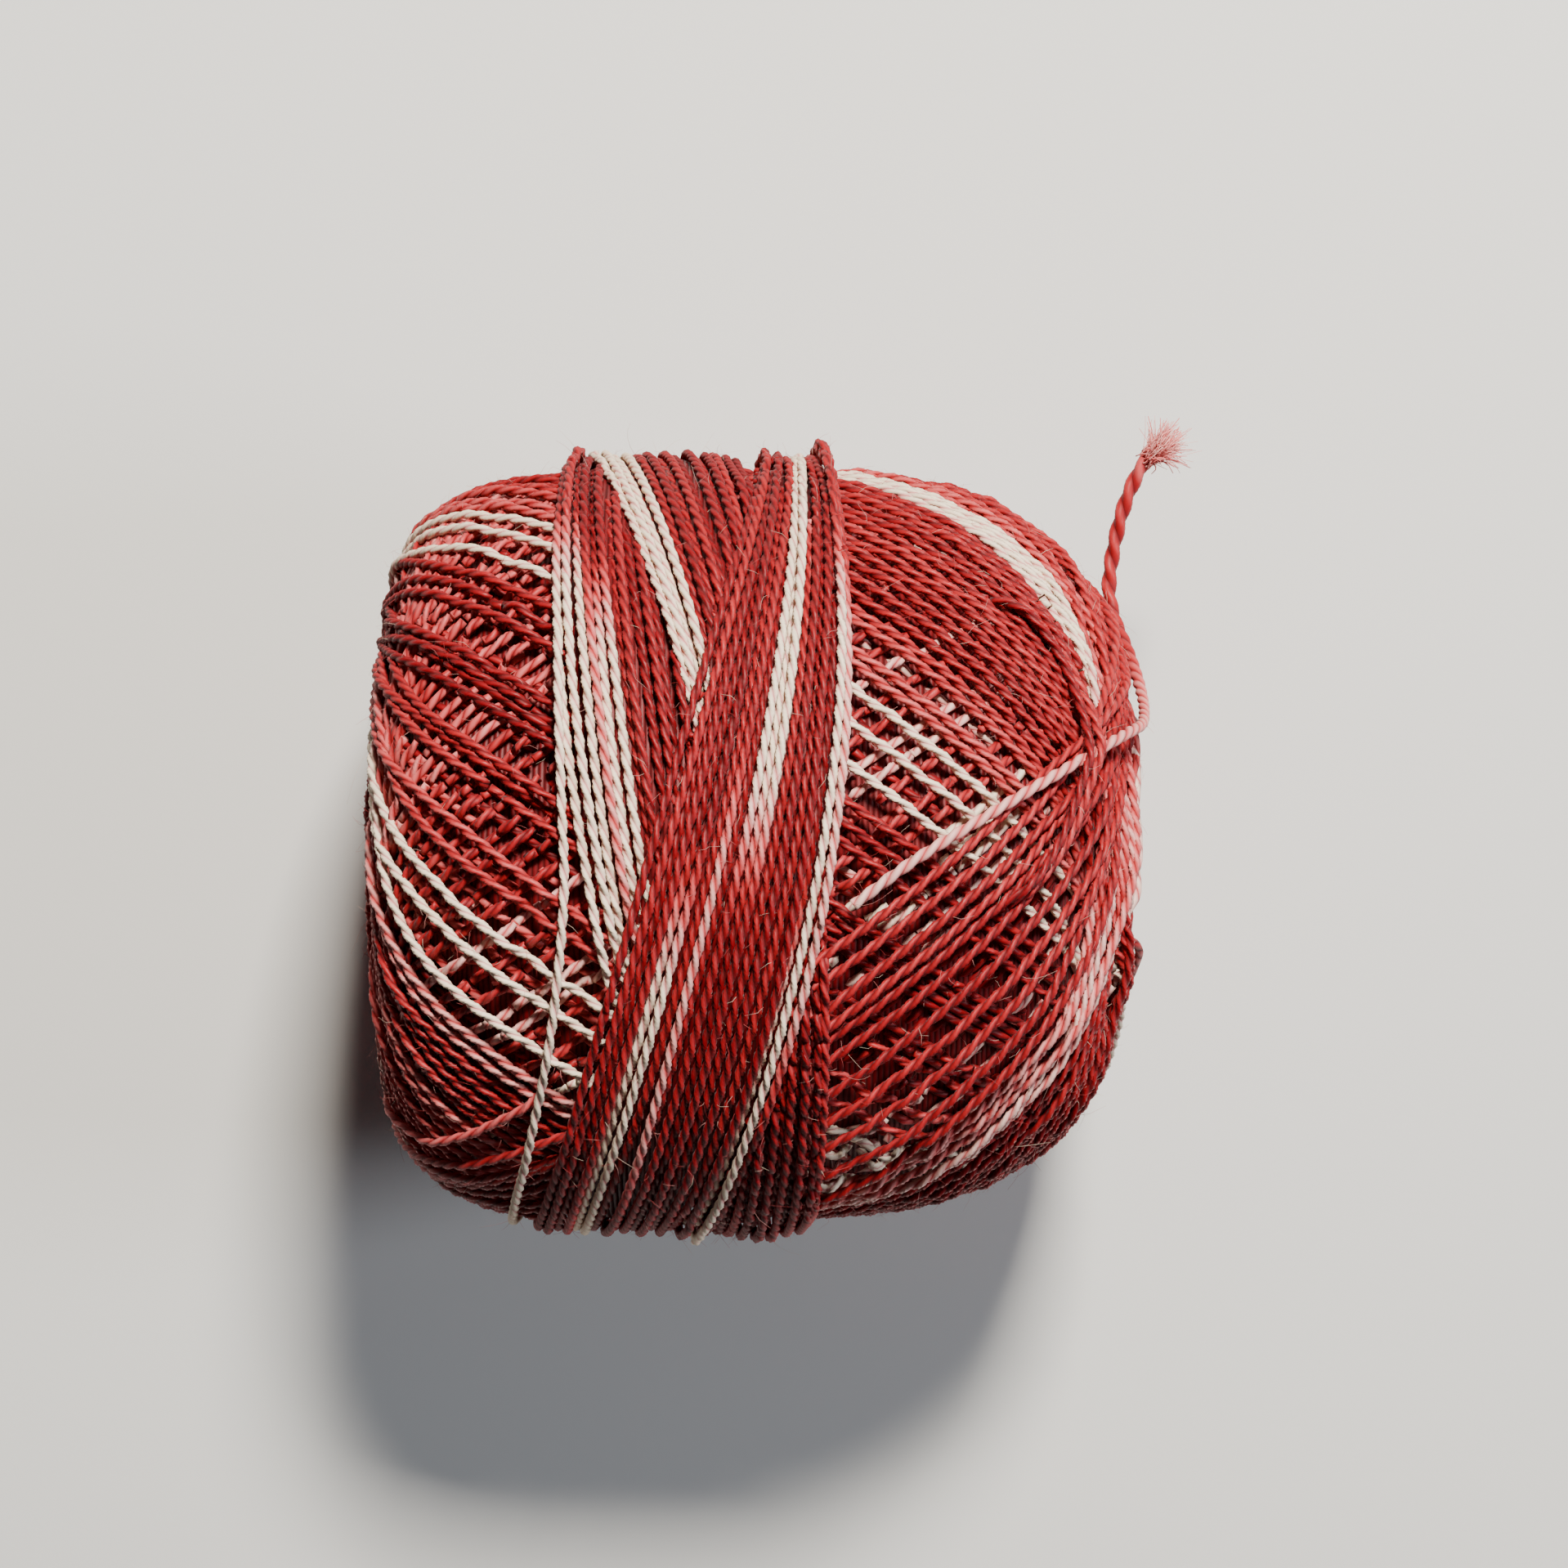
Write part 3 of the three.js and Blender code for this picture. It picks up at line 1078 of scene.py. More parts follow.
class ThreadSweep:
    """Gives strands their thickness, their two plies and the coordinates that the finish reads."""

    def __init__(self, detail: Detail) -> None:
        """Starts an empty joined mesh.

        Args:
            detail: How finely its strands are modelled.
        """
        self.detail = detail
        self.vertices: list[np.ndarray] = []
        self.quads: list[np.ndarray] = []
        self.caps: list[list[int]] = []
        self.uv: list[np.ndarray] = []
        self.pale: list[np.ndarray] = []
        self.count = 0

    def _at_rings(self, strand: Strand) -> Strand:
        """Samples a strand where its rings go, evenly by the turns of its plies.

        Args:
            strand: The strand.

        Returns:
            The same strand with one point for each ring.
        """
        run = run_along(strand.points)
        turned = abs(float(strand.turns[-1] - strand.turns[0]))
        rings = max(3, int(round(turned * self.detail.rings)) + 1)
        even = np.linspace(strand.turns[0], strand.turns[-1], rings)
        at = np.interp(even, strand.turns, run)
        return Strand(
            points=np.stack([np.interp(at, run, strand.points[:, i]) for i in range(3)], axis=1),
            up=np.stack([np.interp(at, run, strand.up[:, i]) for i in range(3)], axis=1),
            turns=np.interp(at, run, strand.turns),
            pale=np.interp(at, run, strand.pale),
            radius=np.interp(at, run, strand.radius),
        )

    def _section(
        self, turns: np.ndarray, length: np.ndarray
    ) -> tuple[np.ndarray, np.ndarray, np.ndarray]:
        """Works out the section at each ring.

        Args:
            turns: Turns of the plies at each ring.
            length: The same, counted from the strand's own start.

        Returns:
            The bearing of each corner of the section, its distance from the middle as a share of the
            radius, and the place round the plies that the finish reads.
        """
        detail = self.detail
        rings = len(turns)
        around = np.arange(detail.sides + 1)[None, :] / detail.sides
        if detail.twisted:
            bearing = FULL_TURN * (around[:, :-1] + turns[:, None])
            crest = np.abs(np.cos(FULL_TURN * around[:, :-1])) ** 1.5
            size = detail.waist + (1.0 - detail.waist) * crest
            return bearing, size, np.repeat(around, rings, axis=0)
        bearing = np.repeat(FULL_TURN * around[:, :-1], rings, axis=0)
        size = np.full((1, detail.sides), 0.5 + 0.5 * detail.waist)
        ply = around - length[:, None]
        return bearing, size, np.zeros_like(ply) if detail is Detail.FIBRE else ply

    def add(self, strand: Strand) -> None:
        """Adds one strand.

        Args:
            strand: The strand.
        """
        at_rings = self._at_rings(strand)
        points = at_rings.points
        ahead = np.gradient(points, axis=0)
        ahead /= np.linalg.norm(ahead, axis=1)[:, None]
        up = at_rings.up - ahead * np.sum(at_rings.up * ahead, axis=1)[:, None]
        up /= np.linalg.norm(up, axis=1)[:, None]
        side = np.cross(ahead, up)
        length = at_rings.turns - math.floor(at_rings.turns[0])
        bearing, size, ply = self._section(at_rings.turns, length)
        size = size * at_rings.radius[:, None]
        ring = (
            points[:, None, :]
            + (size * np.cos(bearing))[:, :, None] * side[:, None, :]
            + (size * np.sin(bearing))[:, :, None] * up[:, None, :]
        )
        self.vertices.append(ring.reshape(-1, 3))
        self.pale.append(np.repeat(at_rings.pale, self.detail.sides))
        self._map_faces(length, ply)
        self._join_rings(len(points))

    def _map_faces(self, length: np.ndarray, ply: np.ndarray) -> None:
        """Notes the length along the strand and the place round the plies at each face's corners.

        Args:
            length: Turns of the plies at each ring.
            ply: Place round the plies at each corner of each ring, with the first one once more.
        """
        long = np.repeat(length[:, None], self.detail.sides, axis=1)
        corners = (
            (long[:-1], ply[:-1, :-1]),
            (long[1:], ply[1:, :-1]),
            (long[1:], ply[1:, 1:]),
            (long[:-1], ply[:-1, 1:]),
        )
        pairs = [np.stack(corner, axis=2) for corner in corners]
        self.uv.append(np.stack(pairs, axis=2).reshape(-1, 2))

    def _join_rings(self, rings: int) -> None:
        """Notes the faces between the newest strand's rings and the two that close its ends.

        Args:
            rings: Number of rings of the strand.
        """
        sides = self.detail.sides
        first = self.count + np.arange(rings - 1)[:, None] * sides
        this = np.arange(sides)[None, :]
        after = (this + 1) % sides
        corners = (first + this, first + this + sides, first + after + sides, first + after)
        self.quads.append(np.stack(corners, axis=2).reshape(-1, 4))
        last = self.count + (rings - 1) * sides
        self.caps.append(list(range(self.count, self.count + sides)))
        self.caps.append(list(range(last + sides - 1, last - 1, -1)))
        self.count += rings * sides

    def build(self, name: str) -> bpy.types.Object:
        """Makes the joined mesh of all the strands added so far.

        Args:
            name: Name of the piece.

        Returns:
            The new object, linked to the scene.
        """
        quads = np.concatenate(self.quads)
        caps = np.array(self.caps)
        vertices = np.concatenate(self.vertices).astype(np.float32)
        mesh = bpy.data.meshes.new(name)
        mesh.vertices.add(len(vertices))
        mesh.vertices.foreach_set("co", vertices.ravel())
        loops = np.concatenate([quads.ravel(), caps.ravel()]).astype(np.int32)
        mesh.loops.add(len(loops))
        mesh.loops.foreach_set("vertex_index", loops)
        quad_starts = np.arange(len(quads)) * 4
        cap_starts = len(quads) * 4 + np.arange(len(caps)) * self.detail.sides
        starts = np.concatenate([quad_starts, cap_starts]).astype(np.int32)
        mesh.polygons.add(len(starts))
        mesh.polygons.foreach_set("loop_start", starts)
        mesh.update(calc_edges=True)
        mesh.validate()
        layer = mesh.uv_layers.new(name="Thread")
        uv = np.concatenate(self.uv + [np.zeros((caps.size, 2))])
        layer.data.foreach_set("uv", uv.astype(np.float32).ravel())
        dye = mesh.attributes.new(name="dye", type="FLOAT", domain="POINT")
        dye.data.foreach_set("value", np.concatenate(self.pale).astype(np.float32))
        mesh.polygons.foreach_set("use_smooth", np.ones(len(starts), dtype=bool))
        mesh.update()
        piece = bpy.data.objects.new(name, mesh)
        bpy.context.scene.collection.objects.link(piece)
        return piece


def triangles(piece: bpy.types.Object) -> int:
    """Number of triangles in a piece's mesh."""
    return sum(len(p.vertices) - 2 for p in piece.data.polygons)


def dress(piece: bpy.types.Object, material: bpy.types.Material) -> None:
    """Gives a piece its material and body, and logs its triangle count.

    Args:
        piece: The piece.
        material: Its material.
    """
    piece.data.materials.clear()
    piece.data.materials.append(material)
    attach(piece, "root")
    LOG.info("%s: %d triangles", piece.name, triangles(piece))


class Nodes:
    """Short ways to add and join shader nodes in one tree."""

    def __init__(self, tree: bpy.types.NodeTree) -> None:
        """Keeps the tree that nodes are added to."""
        self.tree = tree

    def add(self, kind: str, **settings: object) -> bpy.types.Node:
        """Adds a node and sets its properties.

        Args:
            kind: The node's type name.
            **settings: Its properties and their values.

        Returns:
            The new node.
        """
        node = self.tree.nodes.new(kind)
        for name, value in settings.items():
            setattr(node, name, value)
        return node

    def join(self, source: bpy.types.NodeSocket, target: bpy.types.NodeSocket) -> None:
        """Links an output to an input."""
        self.tree.links.new(source, target)

    def math(self, operation: str, *values: float | bpy.types.NodeSocket) -> bpy.types.NodeSocket:
        """Adds a Math node and returns its output.

        Args:
            operation: What the node works out.
            *values: Numbers or outputs of other nodes.

        Returns:
            The node's output.
        """
        node = self.add("ShaderNodeMath", operation=operation)
        for i, value in enumerate(values):
            if isinstance(value, bpy.types.NodeSocket):
                self.join(value, node.inputs[i])
            else:
                node.inputs[i].default_value = value
        return node.outputs[0]

    def group(self, tree: bpy.types.NodeTree) -> bpy.types.Node:
        """Adds a node group and returns its node."""
        return self.add("ShaderNodeGroup", node_tree=tree)

    def noise(
        self, vector: bpy.types.NodeSocket, scale: float, detail: float = 2.0
    ) -> bpy.types.NodeSocket:
        """Adds a noise texture and returns its value.

        Args:
            vector: Place that the noise is read at.
            scale: Number of its lumps to the metre.
            detail: How much finer noise is laid over it.

        Returns:
            The noise, from 0 to 1.
        """
        node = self.add("ShaderNodeTexNoise")
        node.inputs["Scale"].default_value = scale
        node.inputs["Detail"].default_value = detail
        self.join(vector, node.inputs["Vector"])
        return node.outputs["Fac"]

    def bump(
        self, height: bpy.types.NodeSocket, strength: float, distance: float
    ) -> bpy.types.NodeSocket:
        """Adds a Bump node and returns its normal.

        Args:
            height: Height of the surface, from 0 to 1.
            strength: Share of the relief.
            distance: Height in metres that 1 stands for.

        Returns:
            The normal.
        """
        node = self.add("ShaderNodeBump")
        node.inputs["Strength"].default_value = strength
        node.inputs["Distance"].default_value = distance
        self.join(height, node.inputs["Height"])
        return node.outputs["Normal"]

    def ramp(
        self, factor: bpy.types.NodeSocket, stops: list[tuple[float, Colour]]
    ) -> bpy.types.NodeSocket:
        """Adds a colour ramp with the given stops and returns its colour.

        Args:
            factor: Place on the ramp.
            stops: Places and their colours.

        Returns:
            The colour.
        """
        node = self.add("ShaderNodeValToRGB")
        elements = node.color_ramp.elements
        while len(elements) < len(stops):
            elements.new(0.5)
        for element, (place, colour) in zip(elements, stops):
            element.position = place
            element.color = (*colour, 1.0)
        self.join(factor, node.inputs["Fac"])
        return node.outputs["Color"]


@dataclass(frozen=True)
class PlyTwist:
    """Node group for the two plies of a thread, with the height of their surface and the groove."""

    name: str = "PlyTwist"
    fibres_round: float = 34.0
    fibre_height: float = 0.12
    ply_roundness: float = 0.7
    groove_width: float = 0.55

    def group(self) -> bpy.types.NodeTree:
        """Builds the group once.

        Returns:
            The node group, with inputs Length, Round and Fineness and outputs Height and Groove.
        """
        known = bpy.data.node_groups.get(self.name)
        if known:
            return known
        tree = bpy.data.node_groups.new(self.name, "ShaderNodeTree")
        for label in ("Length", "Round", "Fineness"):
            tree.interface.new_socket(name=label, in_out="INPUT", socket_type="NodeSocketFloat")
        for label in ("Height", "Groove"):
            tree.interface.new_socket(name=label, in_out="OUTPUT", socket_type="NodeSocketFloat")
        nodes = Nodes(tree)
        given = nodes.add("NodeGroupInput")
        result = nodes.add("NodeGroupOutput")
        angle = nodes.math("MULTIPLY", given.outputs["Round"], FULL_TURN)
        crest = nodes.math("ABSOLUTE", nodes.math("COSINE", angle))
        groove = nodes.math("SUBTRACT", 1.0, nodes.math("POWER", crest, self.groove_width))
        across = nodes.math("MULTIPLY", given.outputs["Round"], self.fibres_round)
        lengthwise = nodes.math("MULTIPLY", given.outputs["Length"], given.outputs["Fineness"])
        spot = nodes.add("ShaderNodeCombineXYZ")
        nodes.join(across, spot.inputs[0])
        nodes.join(lengthwise, spot.inputs[1])
        fibre = nodes.noise(spot.outputs[0], scale=1.0)
        fibres = nodes.math("MULTIPLY", fibre, self.fibre_height)
        plies = nodes.math("POWER", crest, self.ply_roundness)
        nodes.join(nodes.math("ADD", plies, fibres), result.inputs["Height"])
        nodes.join(groove, result.inputs["Groove"])
        return tree


# Colours of the dye, by how pale it is.
DYES: tuple[tuple[float, Colour], ...] = (
    (0.0, (0.12, 0.001, 0.003)),
    (0.18, (0.20, 0.001, 0.005)),
    (0.40, (0.38, 0.012, 0.016)),
    (0.62, (0.60, 0.10, 0.10)),
    (0.86, (0.74, 0.40, 0.36)),
    (1.0, (0.82, 0.67, 0.51)),
)


@dataclass(frozen=True)
class PearlCotton:
    """Mercerised two-ply cotton, dyed in lengths from deep red over coral and pink to cream."""

    name: str
    # Scale on the dye's colours; the darker copy at 0.8 is painted shade.
    shade: float = 1.0
    relief: float = 0.06 * MM
    fineness: float = 5.0
    roughness: float = 0.46
    groove_roughness: float = 0.3
    sheen: float = 0.04
    sheen_roughness: float = 0.4
    specular: float = 0.26
    # Painted sheen and shade: how much paler the crests are painted than the groove, and the groove
    # depth whose colour stays as it is.
    crest: float = 0.34
    crest_sheen_level: float = 0.36
    mottle: float = 0.22
    mottle_scale: float = 900.0
    # Painted shade: the colour that darkens the groove between the plies.
    groove_shade_colour: Colour = (0.62, 0.34, 0.34)
    # Share of the painted groove shade in a deep red thread, and how much less of it a cream one has.
    groove_shade_share: float = 0.95
    groove_shade_fade: float = 0.6

    def material(self) -> bpy.types.Material:
        """Builds the material.

        Returns:
            The new material.
        """
        material = bpy.data.materials.new(self.name)
        material.use_nodes = True
        nodes = Nodes(material.node_tree)
        shader = material.node_tree.nodes["Principled BSDF"]
        ply = self._plies(nodes)
        groove = ply.outputs["Groove"]
        nodes.join(self._colour(nodes, groove), shader.inputs["Base Color"])
        normal = nodes.bump(ply.outputs["Height"], strength=1.0, distance=self.relief)
        nodes.join(normal, shader.inputs["Normal"])
        in_groove = nodes.math("MULTIPLY", groove, self.groove_roughness)
        rough = nodes.math("ADD", in_groove, self.roughness)
        nodes.join(rough, shader.inputs["Roughness"])
        shader.inputs["Sheen Weight"].default_value = self.sheen
        shader.inputs["Sheen Roughness"].default_value = self.sheen_roughness
        shader.inputs["Specular IOR Level"].default_value = self.specular
        return material

    def _plies(self, nodes: Nodes) -> bpy.types.Node:
        """Adds the ply group on the thread's own coordinates and returns its node.

        Args:
            nodes: The material's nodes.

        Returns:
            The group's node.
        """
        uv = nodes.add("ShaderNodeUVMap", uv_map="Thread")
        parts = nodes.add("ShaderNodeSeparateXYZ")
        nodes.join(uv.outputs["UV"], parts.inputs[0])
        ply = nodes.group(PlyTwist().group())
        nodes.join(parts.outputs[0], ply.inputs["Length"])
        nodes.join(parts.outputs[1], ply.inputs["Round"])
        ply.inputs["Fineness"].default_value = self.fineness
        return ply

    def _colour(self, nodes: Nodes, groove: bpy.types.NodeSocket) -> bpy.types.NodeSocket:
        """Colours the thread by its dye, mottled, with painted sheen on the crests and painted shade in
        the groove.

        Args:
            nodes: The material's nodes.
            groove: How deep a spot lies in the groove.

        Returns:
            The colour.
        """
        dye = nodes.add("ShaderNodeAttribute", attribute_name="dye")
        place = nodes.add("ShaderNodeTexCoord")
        noise = nodes.noise(place.outputs["Object"], self.mottle_scale, detail=3.0)
        mottle = nodes.math("MULTIPLY", nodes.math("SUBTRACT", noise, 0.5), self.mottle)
        # Painted sheen on the ply crests and painted shade deep in the groove, as a shift of the dye
        # along the ramp.
        above = nodes.math("SUBTRACT", self.crest_sheen_level, groove)
        crest = nodes.math("MULTIPLY", above, self.crest)
        pale = nodes.math("ADD", nodes.math("ADD", dye.outputs["Fac"], mottle), crest)
        stops = [(spot, tuple(part * self.shade for part in colour)) for spot, colour in DYES]
        # Painted shade: the groove between the plies is darkened by multiplying, less on pale threads.
        painted_groove_shade = nodes.add("ShaderNodeMix", data_type="RGBA", blend_type="MULTIPLY")
        faded = nodes.math("MULTIPLY", pale, self.groove_shade_fade)
        share = nodes.math("SUBTRACT", self.groove_shade_share, faded)
        nodes.join(nodes.math("MULTIPLY", groove, share), painted_groove_shade.inputs["Factor"])
        nodes.join(nodes.ramp(pale, stops), painted_groove_shade.inputs["A"])
        painted_groove_shade.inputs["B"].default_value = (*self.groove_shade_colour, 1.0)
        return painted_groove_shade.outputs["Result"]


@dataclass(frozen=True)
class PalePaper:
    """Plain pale surface under the ball."""

    name: str = "pale_surface"
    colour: Colour = (0.70, 0.69, 0.67)
    roughness: float = 0.8
    grain_scale: float = 1500.0
    grain_depth: float = 0.02 * MM

    def material(self) -> bpy.types.Material:
        """Builds the material.

        Returns:
            The new material.
        """
        material = bpy.data.materials.new(self.name)
        material.use_nodes = True
        nodes = Nodes(material.node_tree)
        shader = material.node_tree.nodes["Principled BSDF"]
        place = nodes.add("ShaderNodeTexCoord")
        grain = nodes.noise(place.outputs["Object"], self.grain_scale)
        normal = nodes.bump(grain, strength=0.3, distance=self.grain_depth)
        nodes.join(normal, shader.inputs["Normal"])
        shader.inputs["Base Color"].default_value = (*self.colour, 1.0)
        shader.inputs["Roughness"].default_value = self.roughness
        return material


@dataclass
class PackedTurns:
    """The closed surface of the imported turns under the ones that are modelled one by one."""

    surface: WindingSurface
    depth: float = 0.7 * MM
    depth_in_belt: float = 0.25 * MM
    rings: int = 120
    around: int = 150

    def build(self) -> bpy.types.Object:
        """Spins the outline round the axis and sets each point a little under the winding.

        Returns:
            The new object.
        """
        surface = self.surface
        depth = surface.away_from_poles() * self.depth
        depth = depth + surface.belt_share * (self.depth_in_belt - self.depth)
        level = surface.softened(9) - depth
        runs = np.linspace(surface.run[0], surface.run[-1], self.rings)
        radii = np.interp(runs, surface.run, surface.r)
        radii[0] = 0.0
        radii[-1] = 0.0
        shell = bmesh.new()
        verts = [shell.verts.new((run, 0.0, radius)) for run, radius in zip(runs, radii)]
        edges = [shell.edges.new(pair) for pair in zip(verts, verts[1:])]
        bmesh.ops.spin(
            shell,
            geom=verts + edges,
            cent=(0.0, 0.0, 0.0),
            axis=(1.0, 0.0, 0.0),
            angle=FULL_TURN,
            steps=self.around,
            use_merge=True,
        )
        bmesh.ops.remove_doubles(shell, verts=shell.verts, dist=1e-7)
        bmesh.ops.recalc_face_normals(shell, faces=shell.faces)
        for vert in shell.verts:
            run = np.array([vert.co.x])
            angle = np.array([math.atan2(-vert.co.y, vert.co.z)])
            at_pole = math.hypot(vert.co.y, vert.co.z) < 1e-6
            points, _ = surface.place(run, angle, level[surface.cells(run, angle)])
            vert.co = Vector((points[0, 0], 0.0, AXIS_HEIGHT)) if at_pole else Vector(points[0])
        mesh = bpy.data.meshes.new("packed_turns")
        shell.to_mesh(mesh)
        shell.free()
        mesh.attributes.new(name="dye", type="FLOAT", domain="POINT")
        mesh.uv_layers.new(name="Thread")
        for polygon in mesh.polygons:
            polygon.use_smooth = True
        piece = bpy.data.objects.new("packed_turns", mesh)
        bpy.context.scene.collection.objects.link(piece)
        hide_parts("wound_ball")
        return piece


@dataclass
class FrayedTip:
    """The tuft of loosened fibres at the thread's tip, spread like a fan."""

    start: np.ndarray
    ahead: np.ndarray
    fibres: int = 430
    length: float = 1.95 * MM
    radius: float = 0.046 * MM
    spread: float = 0.3
    root_spread: float = 0.17 * MM
    # The tuft is brushed a little to the right.
    brushed: tuple[float, float, float] = (0.25, 0.0, 0.0)

    def build(self) -> bpy.types.Object:
        """Grows curved fibres from the end of the thread.

        Returns:
            The new object.
        """
        random = np.random.default_rng(SEED + 60)
        sweep = ThreadSweep(Detail.FIBRE)
        for _ in range(self.fibres):
            aim = self.ahead + np.array(self.brushed) + random.normal(0.0, self.spread, 3)
            aim /= np.linalg.norm(aim)
            bend = random.normal(0.0, 0.22, 3)
            curl = random.normal(0.0, 0.2, 3)
            length = self.length * random.uniform(0.65, 1.0)
            share = np.linspace(0.0, 1.0, 6)[:, None]
            root = self.start - self.ahead * random.uniform(0.1, 0.8) * MM
            root = root + random.normal(0.0, self.root_spread, 3)
            points = root + (aim * share + bend * share**2 + curl * share**3) * length
            radius = self.radius * random.uniform(0.6, 1.5)
            sweep.add(hair(points, radius, float(random.uniform(0.5, 0.72))))
        piece = sweep.build("tuft")
        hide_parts("frayed_tip")
        return piece


def hair(points: np.ndarray, radius: float, pale: float, turned: float = 1.0) -> Strand:
    """Makes a strand of a single fibre that thins towards its tip.

    Args:
        points: Points along the fibre.
        radius: Its radius at the root.
        pale: Its dye.
        turned: Turns that it counts as, which set how many rings it gets.

    Returns:
        The strand.
    """
    ahead = points[-1] - points[0]
    up = np.cross(ahead, np.array([0.31, 0.77, -0.56]))
    count = len(points)
    taper = np.linspace(1.0, 0.45, count)
    return Strand(
        points=points,
        up=np.tile(up, (count, 1)),
        turns=np.linspace(0.0, turned, count),
        pale=np.full(count, pale),
        radius=radius * taper,
    )


@dataclass
class LooseEnd:
    """The free end, which leaves the belt, crosses the right shoulder and stands away beyond it."""

    first_pitch: float = 2.2 * MM
    last_pitch: float = 3.0 * MM
    first_radius: float = 0.315 * MM
    last_radius: float = 0.47 * MM
    # Lengths between which the twist opens.
    opening: tuple[float, float] = (27.0 * MM, 40.0 * MM)
    # Lengths in millimetres at which the dye is given, and how pale it is there.
    dye_marks: tuple[float, ...] = (0.0, 4.0, 20.0, 30.0, 36.0, 46.0, 50.0)
    dyes: tuple[float, ...] = (0.8, 0.72, 0.66, 0.6, 0.28, 0.3, 0.5)
    # How much wider than its modelled plies the thread is taken to be.
    nap: float = 0.055 * MM

    def line(self) -> np.ndarray:
        """Draws the middle line along the route."""
        places = np.array(LOOSE_END_ROUTE) * MM + np.array([0.0, 0.0, AXIS_HEIGHT])
        return smooth_line(places, 0.12 * MM)

    def build(self, material: bpy.types.Material, tip_material: bpy.types.Material) -> None:
        """Sweeps the free end along its route and sets the frayed tip on it.

        Args:
            material: Finish of the thread.
            tip_material: Finish of the loosened fibres.
        """
        line = self.line()
        steps = np.linalg.norm(np.diff(line, axis=0), axis=1)
        run = run_along(line)
        opened = smooth_step((run - self.opening[0]) / (self.opening[1] - self.opening[0]))
        pitch = self.first_pitch + (self.last_pitch - self.first_pitch) * opened
        turns = np.concatenate([[0.0], np.cumsum(steps / pitch[1:])])
        radius = self.first_radius + (self.last_radius - self.first_radius) * opened
        pale = np.interp(run / MM, self.dye_marks, self.dyes)
        sweep = ThreadSweep(Detail.LOOSE)
        sweep.add(Strand(line, self._carried_up(line), turns, pale, radius))
        piece = sweep.build("free_thread")
        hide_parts("loose_end")
        dress(piece, material)
        ahead = (line[-1] - line[-6]) / np.linalg.norm(line[-1] - line[-6])
        tuft = FrayedTip(start=line[-1], ahead=ahead).build()
        dress(tuft, tip_material)

    def _carried_up(self, line: np.ndarray) -> np.ndarray:
        """Carries a direction across the line along it, without twist.

        Args:
            line: The line, N by 3.

        Returns:
            The direction at each of its points, N by 3.
        """
        ahead = np.gradient(line, axis=0)
        ahead /= np.linalg.norm(ahead, axis=1)[:, None]
        up = np.empty_like(line)
        carried = np.array([0.0, 0.0, 1.0])
        for i, direction in enumerate(ahead):
            carried = carried - direction * np.dot(carried, direction)
            carried /= np.linalg.norm(carried)
            up[i] = carried
        return up


@dataclass
class StrayFibres:
    """Fine hairs that stand off the winding all over."""

    surface: WindingSurface
    short: int = 3600
    long: int = 150
    radius: float = 0.010 * MM
    root_depth: float = 0.08 * MM

    def build(self) -> bpy.types.Object:
        """Grows curved hairs out of the winding, many short ones and a few long ones.

        Returns:
            The new object.
        """
        surface = self.surface
        random = np.random.default_rng(SEED + 70)
        sweep = ThreadSweep(Detail.FIBRE)
        weight = np.cumsum(surface.r)
        for number in range(self.short + self.long):
            is_long = number >= self.short
            run = np.array([np.interp(random.uniform(0.0, weight[-1]), weight, surface.run)])
            angle = np.array([random.uniform(0.0, FULL_TURN)])
            height = surface.height[surface.cells(run, angle)] - self.root_depth
            root, up = surface.place(run, angle, height)
            flat = np.cross(up[0], random.normal(0.0, 1.0, 3))
            flat /= np.linalg.norm(flat)
            bend = np.cross(up[0], flat) * random.normal(0.0, 0.7)
            length = random.uniform(1.0, 2.2) * MM if is_long else random.uniform(0.35, 0.95) * MM
            share = np.linspace(0.0, 1.0, 6)[:, None]
            lift = up[0] * (random.uniform(0.35, 1.2) * share - random.uniform(0.0, 0.45) * share**2)
            points = root + (flat * share * 0.8 + bend * share**2 + lift) * length
            points[:, 2] = np.maximum(points[:, 2], 2 * self.radius)
            turned = 1.0 if is_long else 0.5
            sweep.add(hair(points, self.radius, float(random.uniform(0.3, 0.9)), turned))
        return sweep.build("stray_fibres")


@dataclass(frozen=True)
class SoftLight:
    """A square area light that faces the ball, with its place, side in metres and power in watts."""

    name: str
    place: tuple[float, float, float]
    size: float
    power: float
    colour: Colour

    def build(self) -> None:
        """Adds the light to the scene."""
        data = bpy.data.lights.new(self.name, "AREA")
        data.size = self.size
        data.energy = self.power
        data.color = self.colour
        light = bpy.data.objects.new(self.name, data)
        light.location = self.place
        to_ball = Vector((0, 0, AXIS_HEIGHT)) - Vector(self.place)
        light.rotation_euler = to_ball.to_track_quat("-Z", "Y").to_euler()
        bpy.context.scene.collection.objects.link(light)


